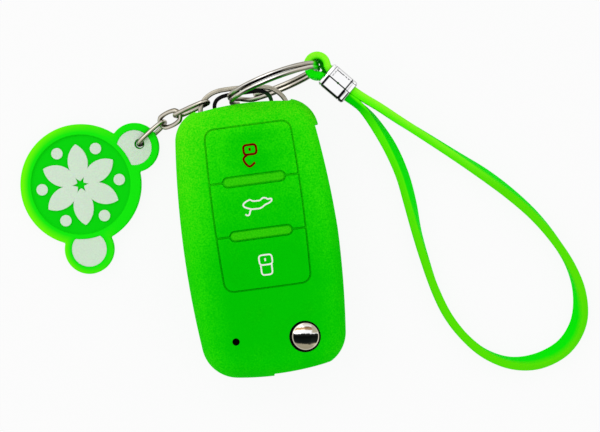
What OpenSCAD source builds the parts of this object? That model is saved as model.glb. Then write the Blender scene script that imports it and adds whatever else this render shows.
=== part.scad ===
// Silicone cover fitted on a three-button flip key, with its split ring, key tag and wrist strap.
// X is across the key, Y along it towards the ring end, and Z out of the button face.
// The origin is the centre of the cover's flat back.

/* [Cover] */
// Length of the cover along the key
cover_l = 76.4; // [75:0.1:82]
// Greatest width of the cover
cover_w = 43; // [42:0.1:47]
// Thickness of the cover over the buttons
cover_t = 18.2; // [18.2:0.1:19.4]
// Silicone wall at the sides and the back
wall = 1.4; // [1:0.1:1.6]
// Silicone wall over the buttons
front_wall = 1.5; // [1.3:0.1:1.6]
// Radius of the bow of the long sides
side_bow_r = 262; // [200:1:400]
// Radius of the bow of the two ends
end_bow_r = 80; // [60:1:120]
// Corner radius at the ring end
ring_corner_r = 9; // [7.5:0.1:10]
// Corner radius at the blade end
blade_corner_r = 10; // [8.5:0.1:11]
// Rounding of the front edge
front_edge_r = 4.5; // [3.5:0.1:5]
// Rounding of the back edge
back_edge_r = 3.5; // [2.5:0.1:4]
// Depth of the finger scallop beside the blade
scallop_d = 0.9; // [0.4:0.1:1]
// Depth of the recess in the blade end
end_recess_d = 0.6; // [0.3:0.1:1]
// Room beside the key's bail in the window of the ring end
window_side = 0.8; // [0.5:0.1:1.2]
// Height at which that window starts
window_z0 = 2; // [1.8:0.1:3]
// Thickness of the lip in front of that window
window_lip = 2.1; // [1.8:0.1:2.6]

/* [Button panel] */
// Distance from the cover's sides to the panel
panel_side = 9.2; // [8:0.1:10]
// Length of the panel
panel_l = 44.8; // [44:0.1:46]
// Distance from the ring end to the panel
panel_end = 7; // [6.5:0.1:8]
// Distance of the panel's middle line from the key's
panel_x = 0.4; // [0:0.1:0.5]
// Corner radius of the panel
panel_r = 2.5; // [1.5:0.1:4]
// Width of the grooves round the pads
groove_w = 0.45; // [0.3:0.05:0.6]
// Length of the two bars between the pads
bar_l = 16.6; // [12:0.1:18]
// Width of the two bars
bar_w = 2.1; // [1.6:0.1:2.4]
// Height of the bars above the front
bar_h = 0.3; // [0.1:0.05:0.6]
// Thickness of a pad's edge
pad_edge_t = 0.6; // [0.5:0.05:0.6]
// Travel of each button
press_travel = 0.5; // [0.3:0.05:0.5]

/* [Blade and release] */
// Distance of the pivot from the key's blade side
pivot_side = 12.9; // [12.5:0.1:13.5]
// Distance of the pivot from the blade end
pivot_end = 9.8; // [9:0.1:10.5]
// Radius of the chrome release button
release_r = 3.98; // [3.6:0.02:4.1]
// Rise of the button's dome
dome_h = 1; // [0.6:0.1:1.4]
// Travel of the release button
release_travel = 2; // [1.2:0.1:2]
// Radius of the blade carrier's hub
hub_r = 7.2; // [6.8:0.1:7.3]
// Width of the key blade
blade_w = 7.5; // [7:0.1:7.6]
// Thickness of the key blade
blade_t = 2.4; // [2:0.1:2.6]
// Distance from the ring end to the folded blade's tip
blade_tip = 12.2; // [11.8:0.1:16]
// Distance of the blade's middle line from the pivot
blade_off = 5.85; // [5.6:0.05:5.9]
// Thickness of the blade carrier
carrier_t = 4.3; // [4:0.1:4.4]
// Length of the carrier's arm from the pivot
arm_l = 12; // [10:0.1:14]

/* [Key bail and split ring] */
// Distance from the cover's sides to the nickel bail
bail_side = 8.9; // [8.7:0.1:9.2]
// How far the bail stands out of the cover
bail_out = 4.5; // [4.4:0.1:5]
// Width of the bail's flat band
bail_band = 1.3; // [1.2:0.05:1.4]
// Height of the bail's band
bail_h = 1.8; // [1.4:0.1:2]
// Outside corner radius of the bail
bail_r = 5.5; // [5:0.1:6]
// Outside diameter of the split ring
ring_od = 27; // [26.5:0.1:28]
// Radial width of the ring's wire
ring_wire = 1.2; // [1:0.05:1.25]
// Axial thickness of the ring's wire
ring_wire_t = 1; // [0.9:0.02:1]
// Gap between the ring's two turns
ring_turn_gap = 0.42; // [0.42:0.01:0.5]
// Compass direction of the ring's plane
ring_a = 13.5; // [12:0.5:14]
// Lean of the ring away from the cover
ring_lean = 6.5; // [5:0.5:7]

/* [Chain and tag] */
// Diameter of the chain's wire
chain_wire = 1.2; // [1:0.05:1.25]
// Pitch of the link in the tag
link_1_l = 9.6; // [9:0.1:10]
// Pitch of the middle link
link_2_l = 6.6; // [6.4:0.1:7.4]
// Pitch of the link on the bail
link_3_l = 10.6; // [10:0.1:11]
// Compass direction of the link in the tag
link_1_a = 34; // [30:0.5:36]
// Compass direction of the middle link
link_2_a = 18; // [12:0.5:20]
// Compass direction of the link on the bail
link_3_a = 16; // [12:0.5:17]
// Radius of the tag's disc
tag_r = 16.9; // [15:0.1:18]
// Thickness of the tag
tag_t = 3.2; // [2.6:0.1:3.2]
// Radius of the tag's two lobes
lobe_r = 6.9; // [6.4:0.1:7.5]
// Distance of the lobes from the disc's centre
lobe_d = 18.2; // [17.5:0.1:18.5]
// Width of the tag's raised rim
tag_rim = 3; // [2.4:0.1:3.5]
// Depth of the tag's sunk floor
tag_floor_d = 0.9; // [0.5:0.1:1.2]
// Lean of the tag on its link
tag_lean = 2.6; // [2.5:0.1:3]

/* [Wrist strap] */
// Width of the silicone band
band_w = 4.8; // [4:0.1:5]
// Thickness of the silicone band
band_t = 2.3; // [2:0.1:2.4]
// Radius of the eye's hole
eye_r = 1.7; // [1.65:0.05:2]
// Length of the crimped clamp
clamp_l = 8.2; // [7:0.1:10]
// Thickness of the clamp's sheet
clamp_sheet = 0.9; // [0.6:0.05:1]
// Compass direction of the strap at the clamp
strap_a = -48; // [-50:0.5:-46]

/* [Hidden] */
$fn = 48;

// One overrun for every cut, and the working clearances
over = 1;
case_gap = 0.15;
run_gap = 0.05;
loose_gap = 0.2;

// Steps of the rounded outlines
side_steps = 3;
corner_steps = 7;
end_steps = 3;
edge_steps = 4;

// Heights of the stack, from the back up
case_inset = wall + case_gap;
case_z0 = wall + case_gap;
cavity_z1 = cover_t - front_wall;
case_z1 = cavity_z1 - case_gap;
case_front = 1.2;
pocket_z1 = case_z1 - case_front;
mid_z = 9.1;
slot_gap = 0.15;
slot_z0 = mid_z - carrier_t / 2 - slot_gap;
slot_z1 = mid_z + carrier_t / 2 + slot_gap;
slot_lip = 0.6;
web_t = 0.7;
pocket_z0 = slot_z1 + web_t;
board_t = 1;
board_z1 = pocket_z0 + run_gap + board_t;

// Half sizes of the cover
side_x = cover_w / 2;
end_y = cover_l / 2;
bail_w = cover_w - 2 * bail_side;
window_w = bail_w + 2 * window_side;
panel_w = cover_w - 2 * panel_side;

// Button panel
panel_y = end_y - panel_end - panel_l / 2;
panel_bow_r = 422;
panel_end_bow_r = 900;
pad_h = panel_l / 3;
bar_y = [for (k = [1, 2]) panel_y + panel_l / 2 - k * pad_h];
pad_z0 = cover_t - pad_edge_t;
groove_z = pad_z0 - press_travel - run_gap;
key_w = 14;
key_h = 9;
key_r = 1.5;
key_flange = 0.7;
switch_side = 3.6;
switch_h = 1;
plunger_r = 0.9;
plunger_h = 0.2;
key_z0 = board_z1 + switch_h + plunger_h + press_travel + run_gap;

// Pivot, blade and release button
pivot = [side_x - pivot_side, -end_y + pivot_end];
blade_in = blade_off - blade_w / 2;
blade_root_y = 5;
blade_l = end_y - blade_tip - pivot[1] - blade_root_y;
slot_side_gap = 0.4;
slot_tip_gap = 1.2;
arm_edge = 0.2;
barrel_gap = 0.12;
barrel_r = release_r + barrel_gap;
barrel_floor = 1.25;
barrel_z0 = slot_z0 + slot_gap + barrel_floor;
post_r = 2;
post_h = 0.9;
post_root = 3;
cup_wall = 0.78;
skirt_z0 = barrel_z0 + release_travel + run_gap + slot_gap;
collar_r = 4.8;
collar_t = 0.8;
collar_z1 = slot_z1 + release_travel + collar_t + slot_gap + run_gap;
well_r = collar_r + loose_gap;
release_gap = 0.37;
release_hole_r = release_r + release_gap;
dome_sink = 0.3;
dome_z = cover_t - dome_sink;
pin_r = 0.8;
pin_y = 7.5;
spring_r = 2.6;
spring_wire = 0.5;
spring_turns = 6;
spring_z0 = barrel_z0 + run_gap;

// Board, battery and transponder
board_side = 3.7;
board_end = 4.9;
board_r = 3;
led_leg = 3.2;
led_leg_w = 10;
battery_r = 10;
battery_t = 3.2;
battery_drop = 0.4;
battery_x = -4;
battery_end = 26.2;
battery_at = [battery_x, end_y - battery_end];
battery_z1 = pocket_z0 - battery_drop;
transponder_size = [6, 3, 2.2];
transponder_side = 6.1;
transponder_at = [-side_x + transponder_side, panel_y - panel_l / 3];

// Status light and the board's leg
led_r = 1.02;
led_side = 11.1;
led_end = 10.8;
led_at = [-side_x + led_side, -end_y + led_end];

// Bail, eyelet and split ring
bail_top = end_y + bail_out;
bail_root = 6.2;
bail_foot = 4.1;
eyelet_in = 4.5;
eyelet_w = bail_w - 2 * eyelet_in;
eyelet_band = 0.95;
eyelet_side = 0.7;
eyelet_h = 1.6;
eyelet_r = 2.8;
eyelet_root = 5;
eyelet_gap = 0.45;
eyelet_top = bail_top - bail_band - eyelet_gap;
ring_r = ring_od / 2 - ring_wire / 2;
ring_pitch = ring_wire_t + ring_turn_gap;
ring_mid = 3.6;
ring_out = 3.75;
ring_c = [ring_r - ring_mid, end_y + ring_out,
    ring_od / 2 * cos(ring_lean) + (ring_pitch + ring_wire_t) / 2 * sin(ring_lean) + run_gap];
ring_jog_at = 225;
ring_jog_half = 16;
ring_steps = 46;

// Chain, from the bail down to the tag
link_1_w = 5;
link_2_w = 3.8;
link_3_w = 4.2;
hook_gap = 0.12;
bail_hook_gap = 1;
bail_seat_a = 20;
tag_hole_r = 1.4;
tag_hole_d = 20;
tag_hook = 0.35;
lobe_1_a = 27;
lobe_2_a = -90;
hook = chain_wire + hook_gap;
bail_hook = bail_band / 2 + bail_hook_gap + chain_wire / 2;
bail_seat = [-(bail_w / 2 - bail_r) - (bail_r - bail_band / 2) * cos(bail_seat_a),
    bail_top - bail_r + (bail_r - bail_band / 2) * sin(bail_seat_a), mid_z];
tag_hole_z = (tag_r + tag_hole_d) * sin(tag_lean) + tag_t / 2 * cos(tag_lean);
link_1_z = tag_hole_z - tag_hook * sin(tag_lean);
chain_rise = mid_z - link_1_z - (link_1_l - hook) * sin(tag_lean);
chain_slope = asin(chain_rise / (link_2_l + link_3_l - hook - bail_hook));
link_3_end = bail_seat + bail_hook * along(chain_slope, link_3_a);
link_3_at = link_3_end - link_3_l * along(chain_slope, link_3_a);
link_2_at = link_3_at + (hook - link_2_l) * along(chain_slope, link_2_a);
link_1_end = link_2_at + hook * along(tag_lean, link_2_a);
link_1_at = link_1_end - link_1_l * along(tag_lean, link_1_a);
tag_hole_local = tag_hole_d * [cos(lobe_1_a), sin(lobe_1_a)];
tag_foot_z = tag_r * sin(tag_lean);
moon_r = 4.9;
moon_arc_r = 15.2;
moon_h = 0.6;
petal_l = 10.4;
petal_w = 5.6;
petals = 6;
dot_r = 1.6;
dot_ring_r = 10.9;
dots = 6;

// Strap: the eye round the ring, the clamp and the free loop
eye_at = [ring_c[0] + ring_r * cos(ring_a), ring_c[1] + ring_r * sin(ring_a), ring_c[2]];
tail_gap = 0.1;
tail_off = (band_t + tail_gap) / 2;
clamp_back = 1.6;
eye_band_t = 2;
clamp_start = eye_r + clamp_back;
clamp_gap = 0.05;
clamp_r = 1.1;
clamp_in_w = 2 * band_t + tail_gap + 2 * clamp_gap;
clamp_in_h = band_w + 2 * clamp_gap;
clamp_groove = 0.35;
clamp_groove_at = 1.3;
clamp_seam = 0.2;
clamp_notch_r = 0.5;
mouth_at = eye_at + (clamp_start + clamp_l) * [cos(strap_a), sin(strap_a), 0];
band_edge_share = 0.2;
loop_steps = 2;

// Route of the loop, from the clamp's mouth and back: across, along, height above the table,
// and how far the band's top edge leans out of the loop in degrees
loop_route = [
    [3.7, -1.7, 13.3, 0], [7.7, -4.8, 12, 0], [13.2, -9.4, 8.8, -1], [19.8, -14.7, 5.5, -5],
    [27.2, -20.8, 3.2, -10], [34.7, -27.2, 2.8, -20], [41.1, -33.5, 2.8, -18], [46.8, -40.2, 2.7, -12],
    [51.4, -47.4, 2.6, -5], [55.1, -55.4, 2.5, 2], [56.6, -63.6, 2.7, 20], [55.3, -71.5, 2.7, 42],
    [50.5, -77.7, 2.6, 52], [43.1, -80.7, 2.7, 42], [35.4, -80.4, 2.7, 18], [28.5, -77, 2.6, 5],
    [23.3, -71.6, 2.5, 1], [19.3, -64.8, 2.5, 0], [16.7, -57, 2.5, 1], [15.1, -49.1, 2.5, 5],
    [13.8, -40.6, 2.6, 10], [13, -32, 2.8, 21], [11.8, -24, 4, 21], [9.3, -16, 6.8, 20],
    [5.5, -8.4, 10.8, 6], [2, -3.5, 13.3, 0]];

// Unit vector at a slope and a compass direction
function along(slope, a) = [cos(slope) * cos(a), cos(slope) * sin(a), sin(slope)];

function unit(v) = v / norm(v);

// Centre of a corner circle that runs into both the side bow and the end bow
function corner_centre(w, l, side_r, end_r, r) =
    let (s = [w / 2 - side_r, 0], e = [0, l / 2 - end_r], d = norm(e - s),
        a = ((side_r - r) ^ 2 - (end_r - r) ^ 2 + d ^ 2) / (2 * d),
        h = sqrt((side_r - r) ^ 2 - a ^ 2), dir = (e - s) / d)
    s + a * dir + h * [-dir[1], dir[0]];

// A quarter of a bowed outline, from +X round to +Y, set in by an inset
function quarter(w, l, side_r, end_r, r, inset) =
    let (k = corner_centre(w, l, side_r, end_r, r),
        s = [w / 2 - side_r, 0], e = [0, l / 2 - end_r],
        a1 = atan2(k[1], k[0] - s[0]), a2 = atan2(k[1] - e[1], k[0]))
    concat(
        [for (i = [0:side_steps - 1]) let (a = a1 * i / side_steps)
            s + (side_r - inset) * [cos(a), sin(a)]],
        [for (i = [0:corner_steps - 1]) let (a = a1 + (a2 - a1) * i / corner_steps)
            k + (r - inset) * [cos(a), sin(a)]],
        [for (i = [0:end_steps]) let (a = a2 + (90 - a2) * i / end_steps)
            e + (end_r - inset) * [cos(a), sin(a)]]);

// The whole bowed outline, counter-clockwise
function bowed(w, l, side_r, end_r, top_r, low_r, inset) =
    let (t = quarter(w, l, side_r, end_r, top_r, inset),
        b = quarter(w, l, side_r, end_r, low_r, inset), n = len(t) - 1)
    concat([for (i = [0:n - 1]) t[i]], [for (i = [n:-1:1]) [-t[i][0], t[i][1]]],
        [for (i = [0:n - 1]) -b[i]], [for (i = [n:-1:1]) [b[i][0], -b[i][1]]]);

function cover_outline(inset) =
    bowed(cover_w, cover_l, side_bow_r, end_bow_r, ring_corner_r, blade_corner_r, inset);

function panel_outline(inset) =
    bowed(panel_w, panel_l, panel_bow_r, panel_end_bow_r, panel_r, panel_r, inset);

function at_height(points, z) = [for (p = points) [p[0], p[1], z]];

// Rings of a body with a rounded back edge
function back_rings(inset, z0, r) =
    [for (k = [0:edge_steps]) let (a = 90 * k / edge_steps)
        at_height(cover_outline(inset + r * (1 - sin(a))), z0 + r * (1 - cos(a)))];

// Rings of a body with a rounded front edge
function front_rings(inset, z1, r) =
    [for (k = [0:edge_steps]) let (a = 90 * k / edge_steps)
        at_height(cover_outline(inset + r * (1 - cos(a))), z1 - r * (1 - sin(a)))];

// A closed solid through a row of rings with equal counts of points
module skin(rings) {
    m = len(rings[0]);
    n = len(rings);
    sides = [for (i = [0:n - 2], j = [0:m - 1]) let (k = (j + 1) % m)
        each [[i * m + j, (i + 1) * m + j, (i + 1) * m + k], [i * m + j, (i + 1) * m + k, i * m + k]]];
    caps = [[for (j = [0:m - 1]) j], [for (j = [m - 1:-1:0]) (n - 1) * m + j]];
    polyhedron(points = [for (r = rings) each r], faces = concat(sides, caps));
}

// Rings of a section swept along frames of [point, axis for x, axis for y]
function swept(frames, section) =
    [for (f = frames) [for (s = section) f[0] + s[0] * f[1] + s[1] * f[2]]];

// Eight-point section with cut corners
function cut_section(w, h, c) = [
    [w / 2, -h / 2 + c], [w / 2, h / 2 - c], [w / 2 - c, h / 2], [-w / 2 + c, h / 2],
    [-w / 2, h / 2 - c], [-w / 2, -h / 2 + c], [-w / 2 + c, -h / 2], [w / 2 - c, -h / 2]];

function round_section(r, sides) = [for (i = [0:sides - 1]) r * [cos(360 * i / sides), sin(360 * i / sides)]];

module rounded_square(w, h, r) {
    square([w - 2 * r, h], center = true);
    square([w, h - 2 * r], center = true);
    for (x = [-1, 1], y = [-1, 1])
        translate([x * (w / 2 - r), y * (h / 2 - r)]) circle(r);
}

module stadium(l, w) {
    square([l - w, w], center = true);
    for (x = [-1, 1]) translate([x * (l - w) / 2, 0]) circle(d = w);
}

// A prism of the children between two heights
module slab(z0, z1) {
    translate([0, 0, z0]) linear_extrude(z1 - z0) children();
}

// Room that the blade and its carrier swing through
module swing_room(side, gap) {
    reach = cover_w;
    translate([pivot[0] + blade_in - side, pivot[1]])
        square([reach, blade_root_y + blade_l + gap]);
    translate([pivot[0] - blade_off - blade_w / 2 - side, pivot[1] - reach])
        square([cover_w + reach, reach + slot_gap]);
    translate(pivot) circle(hub_r + side);
}

module panel_at() {
    translate([panel_x, panel_y]) children();
}

// Middle of each pad, from the ring end down
function pad_mid(k) = panel_y + panel_l / 2 - (k + 0.5) * pad_h;

// Outline of one pad, cut out round the bars beside it
module pad_outline(k) {
    y0 = panel_y + panel_l / 2 - (k + 1) * pad_h + (k == 2 ? -over : groove_w / 2);
    y1 = panel_y + panel_l / 2 - k * pad_h - (k == 0 ? -over : groove_w / 2);
    difference() {
        intersection() {
            panel_at() polygon(panel_outline(0));
            translate([-panel_w, y0]) square([2 * panel_w, y1 - y0]);
        }
        for (y = bar_y) translate([panel_x, y]) stadium(bar_l + 2 * groove_w, bar_w + 2 * groove_w);
    }
}

module pad(k) {
    color([0.16, 0.84, 0.1]) {
        slab(pad_z0, cover_t) pad_outline(k);
        slab(cavity_z1, pad_z0) translate([panel_x, pad_mid(k)]) rounded_square(key_w, key_h, key_r);
    }
}

// Inner edge of the finger scallop, fading to nothing at the middle of the side
function scallop_edge(i, n) =
    let (y = (end_y - ring_corner_r) * (1 - i / n))
    [side_x - side_bow_r + sqrt(side_bow_r ^ 2 - y ^ 2) - scallop_d * (1 - i / n), y];

module scallop() {
    n = 6;
    polygon(concat([for (i = [0:n]) scallop_edge(i, n)],
        [[side_x + over, 0], [side_x + over, end_y - ring_corner_r]]));
}

// Recess in the blade end, from the slot's step round to the corner
module end_recess() {
    n = 6;
    x0 = pivot[0] - blade_off - blade_w / 2 - loose_gap;
    x1 = side_x - blade_corner_r / 2;
    polygon(concat([for (i = [0:n]) let (x = x0 + (x1 - x0) * i / n)
            [x, -end_y + end_bow_r - sqrt(end_bow_r ^ 2 - x ^ 2) + end_recess_d]],
        [[x1, -end_y - over], [x0, -end_y - over]]));
}

module cover_shell() {
    color([0.2, 0.85, 0.1])
    difference() {
        union() {
            difference() {
                skin(concat(back_rings(0, 0, back_edge_r), front_rings(0, cover_t, front_edge_r)));
                slab(groove_z, cover_t + over) panel_at() polygon(panel_outline(-groove_w));
            }
            for (y = bar_y) slab(cavity_z1, cover_t + bar_h) translate([panel_x, y]) stadium(bar_l, bar_w);
        }
        skin(concat(back_rings(wall, wall, back_edge_r - wall),
            front_rings(wall, cavity_z1, front_edge_r - front_wall)));
        for (k = [0:2])
            slab(cavity_z1 - over, cover_t) translate([panel_x, pad_mid(k)])
                rounded_square(key_w + 2 * loose_gap, key_h + 2 * loose_gap, key_r + loose_gap);
        slab(slot_z0 - slot_lip, slot_z1 + slot_lip) swing_room(slot_side_gap + slot_gap, slot_tip_gap);
        slab(-over, cover_t + over) scallop();
        slab(-over, cover_t + over) end_recess();
        translate([pivot[0], pivot[1], mid_z]) cylinder(r = release_hole_r, h = cover_t);
        translate([led_at[0], led_at[1], mid_z]) cylinder(r = led_r, h = cover_t);
        translate([0, end_y + over, (window_z0 + cover_t - window_lip) / 2]) rotate([90, 0, 0])
            linear_extrude(ring_corner_r) rounded_square(window_w, cover_t - window_lip - window_z0, wall);
    }
}

// The board's outline, less an inset
module board_outline(inset) {
    board_w = 2 * (side_x - case_inset - board_side);
    board_top = end_y - case_inset - board_end;
    board_low = panel_y - panel_l / 2 - key_r;
    translate([0, (board_top + board_low) / 2])
        rounded_square(board_w - 2 * inset, board_top - board_low - 2 * inset, board_r);
    leg_y0 = led_at[1] - led_leg;
    leg_y1 = board_low + board_r + key_r;
    translate([led_at[0], (leg_y0 + leg_y1) / 2])
        rounded_square(led_leg_w - 2 * inset, leg_y1 - leg_y0 - 2 * inset, key_r);
}

module upper_case() {
    color([0.12, 0.12, 0.13])
    difference() {
        skin(concat([at_height(cover_outline(case_inset), mid_z)],
            front_rings(case_inset, case_z1, front_edge_r - front_wall)));
        slab(pocket_z0, pocket_z1) board_outline(0);
        slab(mid_z - over, slot_z1) swing_room(slot_side_gap, slot_tip_gap);
        for (k = [0:2])
            slab(pocket_z1 - over, case_z1 + over) translate([panel_x, pad_mid(k)])
                rounded_square(key_w + 2 * loose_gap, key_h + 2 * loose_gap, key_r);
        slab(mid_z - over, pocket_z0 + over) translate(battery_at) circle(battery_r + loose_gap);
        slab(mid_z - over, pocket_z0 + over) translate(transponder_at)
            square([transponder_size[0] + 2 * loose_gap, transponder_size[1] + 2 * loose_gap]);
        translate([pivot[0], pivot[1], mid_z]) {
            cylinder(r = well_r, h = collar_z1 + run_gap - mid_z);
            cylinder(r = release_r + loose_gap, h = case_z1);
        }
        translate([led_at[0], led_at[1], mid_z]) cylinder(r = led_r, h = case_z1);
        slab(mid_z - over, mid_z + bail_h / 2 + run_gap) bail_outline(run_gap);
        slab(mid_z - over, mid_z + eyelet_h / 2) eyelet_outline();
    }
}

module lower_case() {
    color([0.12, 0.12, 0.13])
    difference() {
        skin(concat(back_rings(case_inset, case_z0, back_edge_r - wall),
            [at_height(cover_outline(case_inset), mid_z)]));
        slab(slot_z0, mid_z + over) swing_room(slot_side_gap, slot_tip_gap);
        slab(battery_z1 - battery_t - run_gap, mid_z + over)
            translate(battery_at) circle(battery_r + loose_gap);
        translate([pivot[0], pivot[1], slot_z0 - post_root]) cylinder(r = post_r, h = post_root + over);
        slab(mid_z - bail_h / 2 - run_gap, mid_z + over) bail_outline(run_gap);
        slab(mid_z - eyelet_h / 2, mid_z + over) eyelet_outline();
    }
}

// Rubber key under a pad, held by its flange behind the case's front
module rubber_key(k) {
    flange_z1 = pocket_z1 - run_gap;
    color([0.2, 0.2, 0.21]) translate([panel_x, pad_mid(k)]) {
        slab(key_z0, cavity_z1) rounded_square(key_w, key_h, key_r);
        slab(key_z0, flange_z1)
            rounded_square(key_w + 2 * key_flange, key_h + 2 * key_flange, key_r);
    }
}

module circuit_board() {
    color([0.05, 0.35, 0.2]) slab(board_z1 - board_t, board_z1) board_outline(loose_gap);
}

module tact_switches() {
    color([0.75, 0.75, 0.78]) for (k = [0:2]) translate([panel_x, pad_mid(k), board_z1]) {
        translate([-switch_side / 2, -switch_side / 2]) cube([switch_side, switch_side, switch_h]);
        cylinder(r = plunger_r, h = switch_h + plunger_h);
    }
}

module status_led() {
    foot_r = 1.6;
    foot_t = 0.8;
    color([0.1, 0.02, 0.02]) translate([led_at[0], led_at[1], board_z1]) {
        cylinder(r = led_r - run_gap, h = case_z1 - board_z1);
        cylinder(r = foot_r, h = foot_t);
    }
}

module battery() {
    rim = 1;
    lip = 0.3;
    color([0.8, 0.8, 0.8]) translate([battery_at[0], battery_at[1], battery_z1 - battery_t]) {
        cylinder(r = battery_r, h = battery_t - lip);
        cylinder(r = battery_r - rim, h = battery_t);
    }
}

module battery_clip() {
    clip_l = 18;
    clip_w = 4;
    color([0.85, 0.75, 0.4])
        slab(battery_z1, pocket_z0 + run_gap)
            translate(battery_at) rounded_square(clip_l, clip_w, clip_w / 4);
}

module transponder() {
    color([0.1, 0.1, 0.1]) translate([transponder_at[0] + loose_gap, transponder_at[1] + loose_gap,
        pocket_z0 - transponder_size[2]]) cube(transponder_size);
}

module pivot_post() {
    color([0.8, 0.7, 0.4]) translate([pivot[0], pivot[1], slot_z0 - post_root])
        cylinder(r = post_r, h = post_root + slot_gap + post_h);
}

function coil_frames(r, z0, pitch, turns, steps) =
    [for (i = [0:turns * steps]) let (a = 360 * i / steps)
        [[r * cos(a), r * sin(a), z0 + pitch * i / steps], [0, 0, 1], [cos(a), sin(a), 0]]];

module flip_spring() {
    z0 = spring_z0 + spring_wire / 2;
    z1 = dome_z - cup_wall - spring_wire / 2 - run_gap;
    pitch = (z1 - z0) / spring_turns;
    echo(flip_spring_gap = pitch - spring_wire);
    color([0.6, 0.6, 0.62]) translate(pivot)
        skin(swept(coil_frames(spring_r, z0, pitch, spring_turns, 12), round_section(spring_wire / 2, 6)));
}

// Outline of the carrier's arm beside the hub
module arm_outline() {
    translate([blade_in - arm_edge, 0]) square([blade_w + 2 * arm_edge, arm_l]);
}

module blade_outline() {
    // outline as shares of half the width and of the length
    tip_shares = [[-1, 0], [1, 0], [1, 0.93], [0.55, 0.985], [-0.1, 1], [-0.75, 0.965], [-1, 0.91]];
    translate([blade_off, blade_root_y])
        polygon([for (p = tip_shares) [p[0] * blade_w / 2, p[1] * blade_l]]);
}

// Milled track down both faces of the blade
module blade_track() {
    track_w = 2.2;
    track_swing = 1.3;
    wave_shares = [0, 0.5, -0.4, 0.9, 0.2, -0.8, 0.1, 0.7, -0.6, 0.3, 0];
    n = len(wave_shares) - 1;
    y0 = arm_l - blade_root_y + track_w;
    track_share = 0.94;
    y1 = blade_l * track_share;
    line = [for (i = [0:n]) [wave_shares[i] * track_swing, y0 + (y1 - y0) * i / n]];
    translate([blade_off, blade_root_y])
        polygon(concat([for (p = line) p - [track_w / 2, 0]],
            [for (i = [n:-1:0]) line[i] + [track_w / 2, 0]]));
}

module blade() {
    track_d = 0.5;
    color([0.75, 0.75, 0.78]) translate(pivot) difference() {
        slab(mid_z - blade_t / 2, mid_z + blade_t / 2) blade_outline();
        slab(mid_z + blade_t / 2 - track_d, mid_z + blade_t) blade_track();
        slab(mid_z - blade_t, mid_z - blade_t / 2 + track_d) blade_track();
        translate([blade_off, pin_y, mid_z]) cylinder(r = pin_r, h = blade_t + over, center = true);
    }
}

module blade_carrier() {
    color([0.1, 0.1, 0.11]) translate(pivot) difference() {
        slab(mid_z - carrier_t / 2, mid_z + carrier_t / 2) {
            circle(hub_r);
            arm_outline();
        }
        translate([0, 0, barrel_z0]) cylinder(r = barrel_r, h = carrier_t);
        translate([0, 0, mid_z - carrier_t / 2 - over])
            cylinder(r = post_r + run_gap, h = over + post_h + run_gap);
        slab(mid_z - blade_t / 2, mid_z + blade_t / 2) blade_outline();
        translate([blade_off, pin_y, mid_z]) cylinder(r = pin_r, h = carrier_t + over, center = true);
    }
}

module blade_pin() {
    color([0.7, 0.7, 0.72]) translate([pivot[0] + blade_off, pivot[1] + pin_y, mid_z])
        cylinder(r = pin_r, h = carrier_t, center = true);
}

module release_button() {
    dome_r = (release_r ^ 2 + dome_h ^ 2) / (2 * dome_h);
    color([0.85, 0.85, 0.86]) translate(pivot) difference() {
        union() {
            translate([0, 0, skirt_z0]) cylinder(r = release_r, h = dome_z - skirt_z0);
            translate([0, 0, collar_z1 - collar_t]) cylinder(r = collar_r, h = collar_t);
            intersection() {
                translate([0, 0, dome_z - run_gap]) cylinder(r = release_r, h = dome_h + over);
                translate([0, 0, dome_z + dome_h - dome_r]) sphere(dome_r, $fn = 96);
            }
        }
        translate([0, 0, skirt_z0 - over])
            cylinder(r = release_r - cup_wall, h = dome_z - cup_wall - skirt_z0 + over);
    }
}

// A band bent to a D: outside width, band at the sides and the top, height of its top, corner radius
module d_band(w, side, top, y0, y1, r) {
    difference() {
        translate([0, (y0 + y1) / 2]) rounded_square(w, y1 - y0, r);
        translate([0, (y0 + y1 - top) / 2 - over])
            rounded_square(w - 2 * side, y1 - y0 - top + 2 * over, r - side);
        translate([-w / 2 - over, y0 - over]) square([w + 2 * over, r + over]);
    }
}

module bail_outline(gap) {
    foot_y = end_y - bail_root;
    band = bail_band + 2 * gap;
    d_band(bail_w + 2 * gap, band, band, foot_y - bail_r, bail_top + gap, bail_r + gap);
    for (x = [-1, 1])
        translate([x * (bail_w / 2 - bail_foot / 2), foot_y + bail_band / 2])
            square([bail_foot + 2 * gap, band], center = true);
}

module key_bail() {
    color([0.62, 0.6, 0.53]) slab(mid_z - bail_h / 2, mid_z + bail_h / 2) bail_outline(0);
}

module eyelet_outline() {
    d_band(eyelet_w, eyelet_side, eyelet_band, end_y - eyelet_root - eyelet_r, eyelet_top, eyelet_r);
}

module case_eyelet() {
    color([0.05, 0.05, 0.05]) slab(mid_z - eyelet_h / 2, mid_z + eyelet_h / 2) eyelet_outline();
}

// Height of the ring's wire over its middle plane, with one crossing between the two turns
function ring_rise(a) =
    ring_pitch * (min(max((a - 360 + ring_jog_half) / (2 * ring_jog_half), 0), 1) - 0.5);

function ring_frames() =
    [for (i = [0:ring_steps])
        let (a = ring_jog_half + (720 - 2 * ring_jog_half) * i / ring_steps, b = a + ring_jog_at)
        [[ring_r * cos(b), ring_r * sin(b), ring_rise(a)], [0, 0, 1], [cos(b), sin(b), 0]]];

module split_ring() {
    echo(split_ring_gap = ring_pitch - ring_wire_t);
    color([0.66, 0.64, 0.58]) translate(ring_c) rotate([90 - ring_lean, 0, ring_a])
        skin(swept(ring_frames(), cut_section(ring_wire_t, ring_wire, ring_wire / 4)));
}

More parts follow.
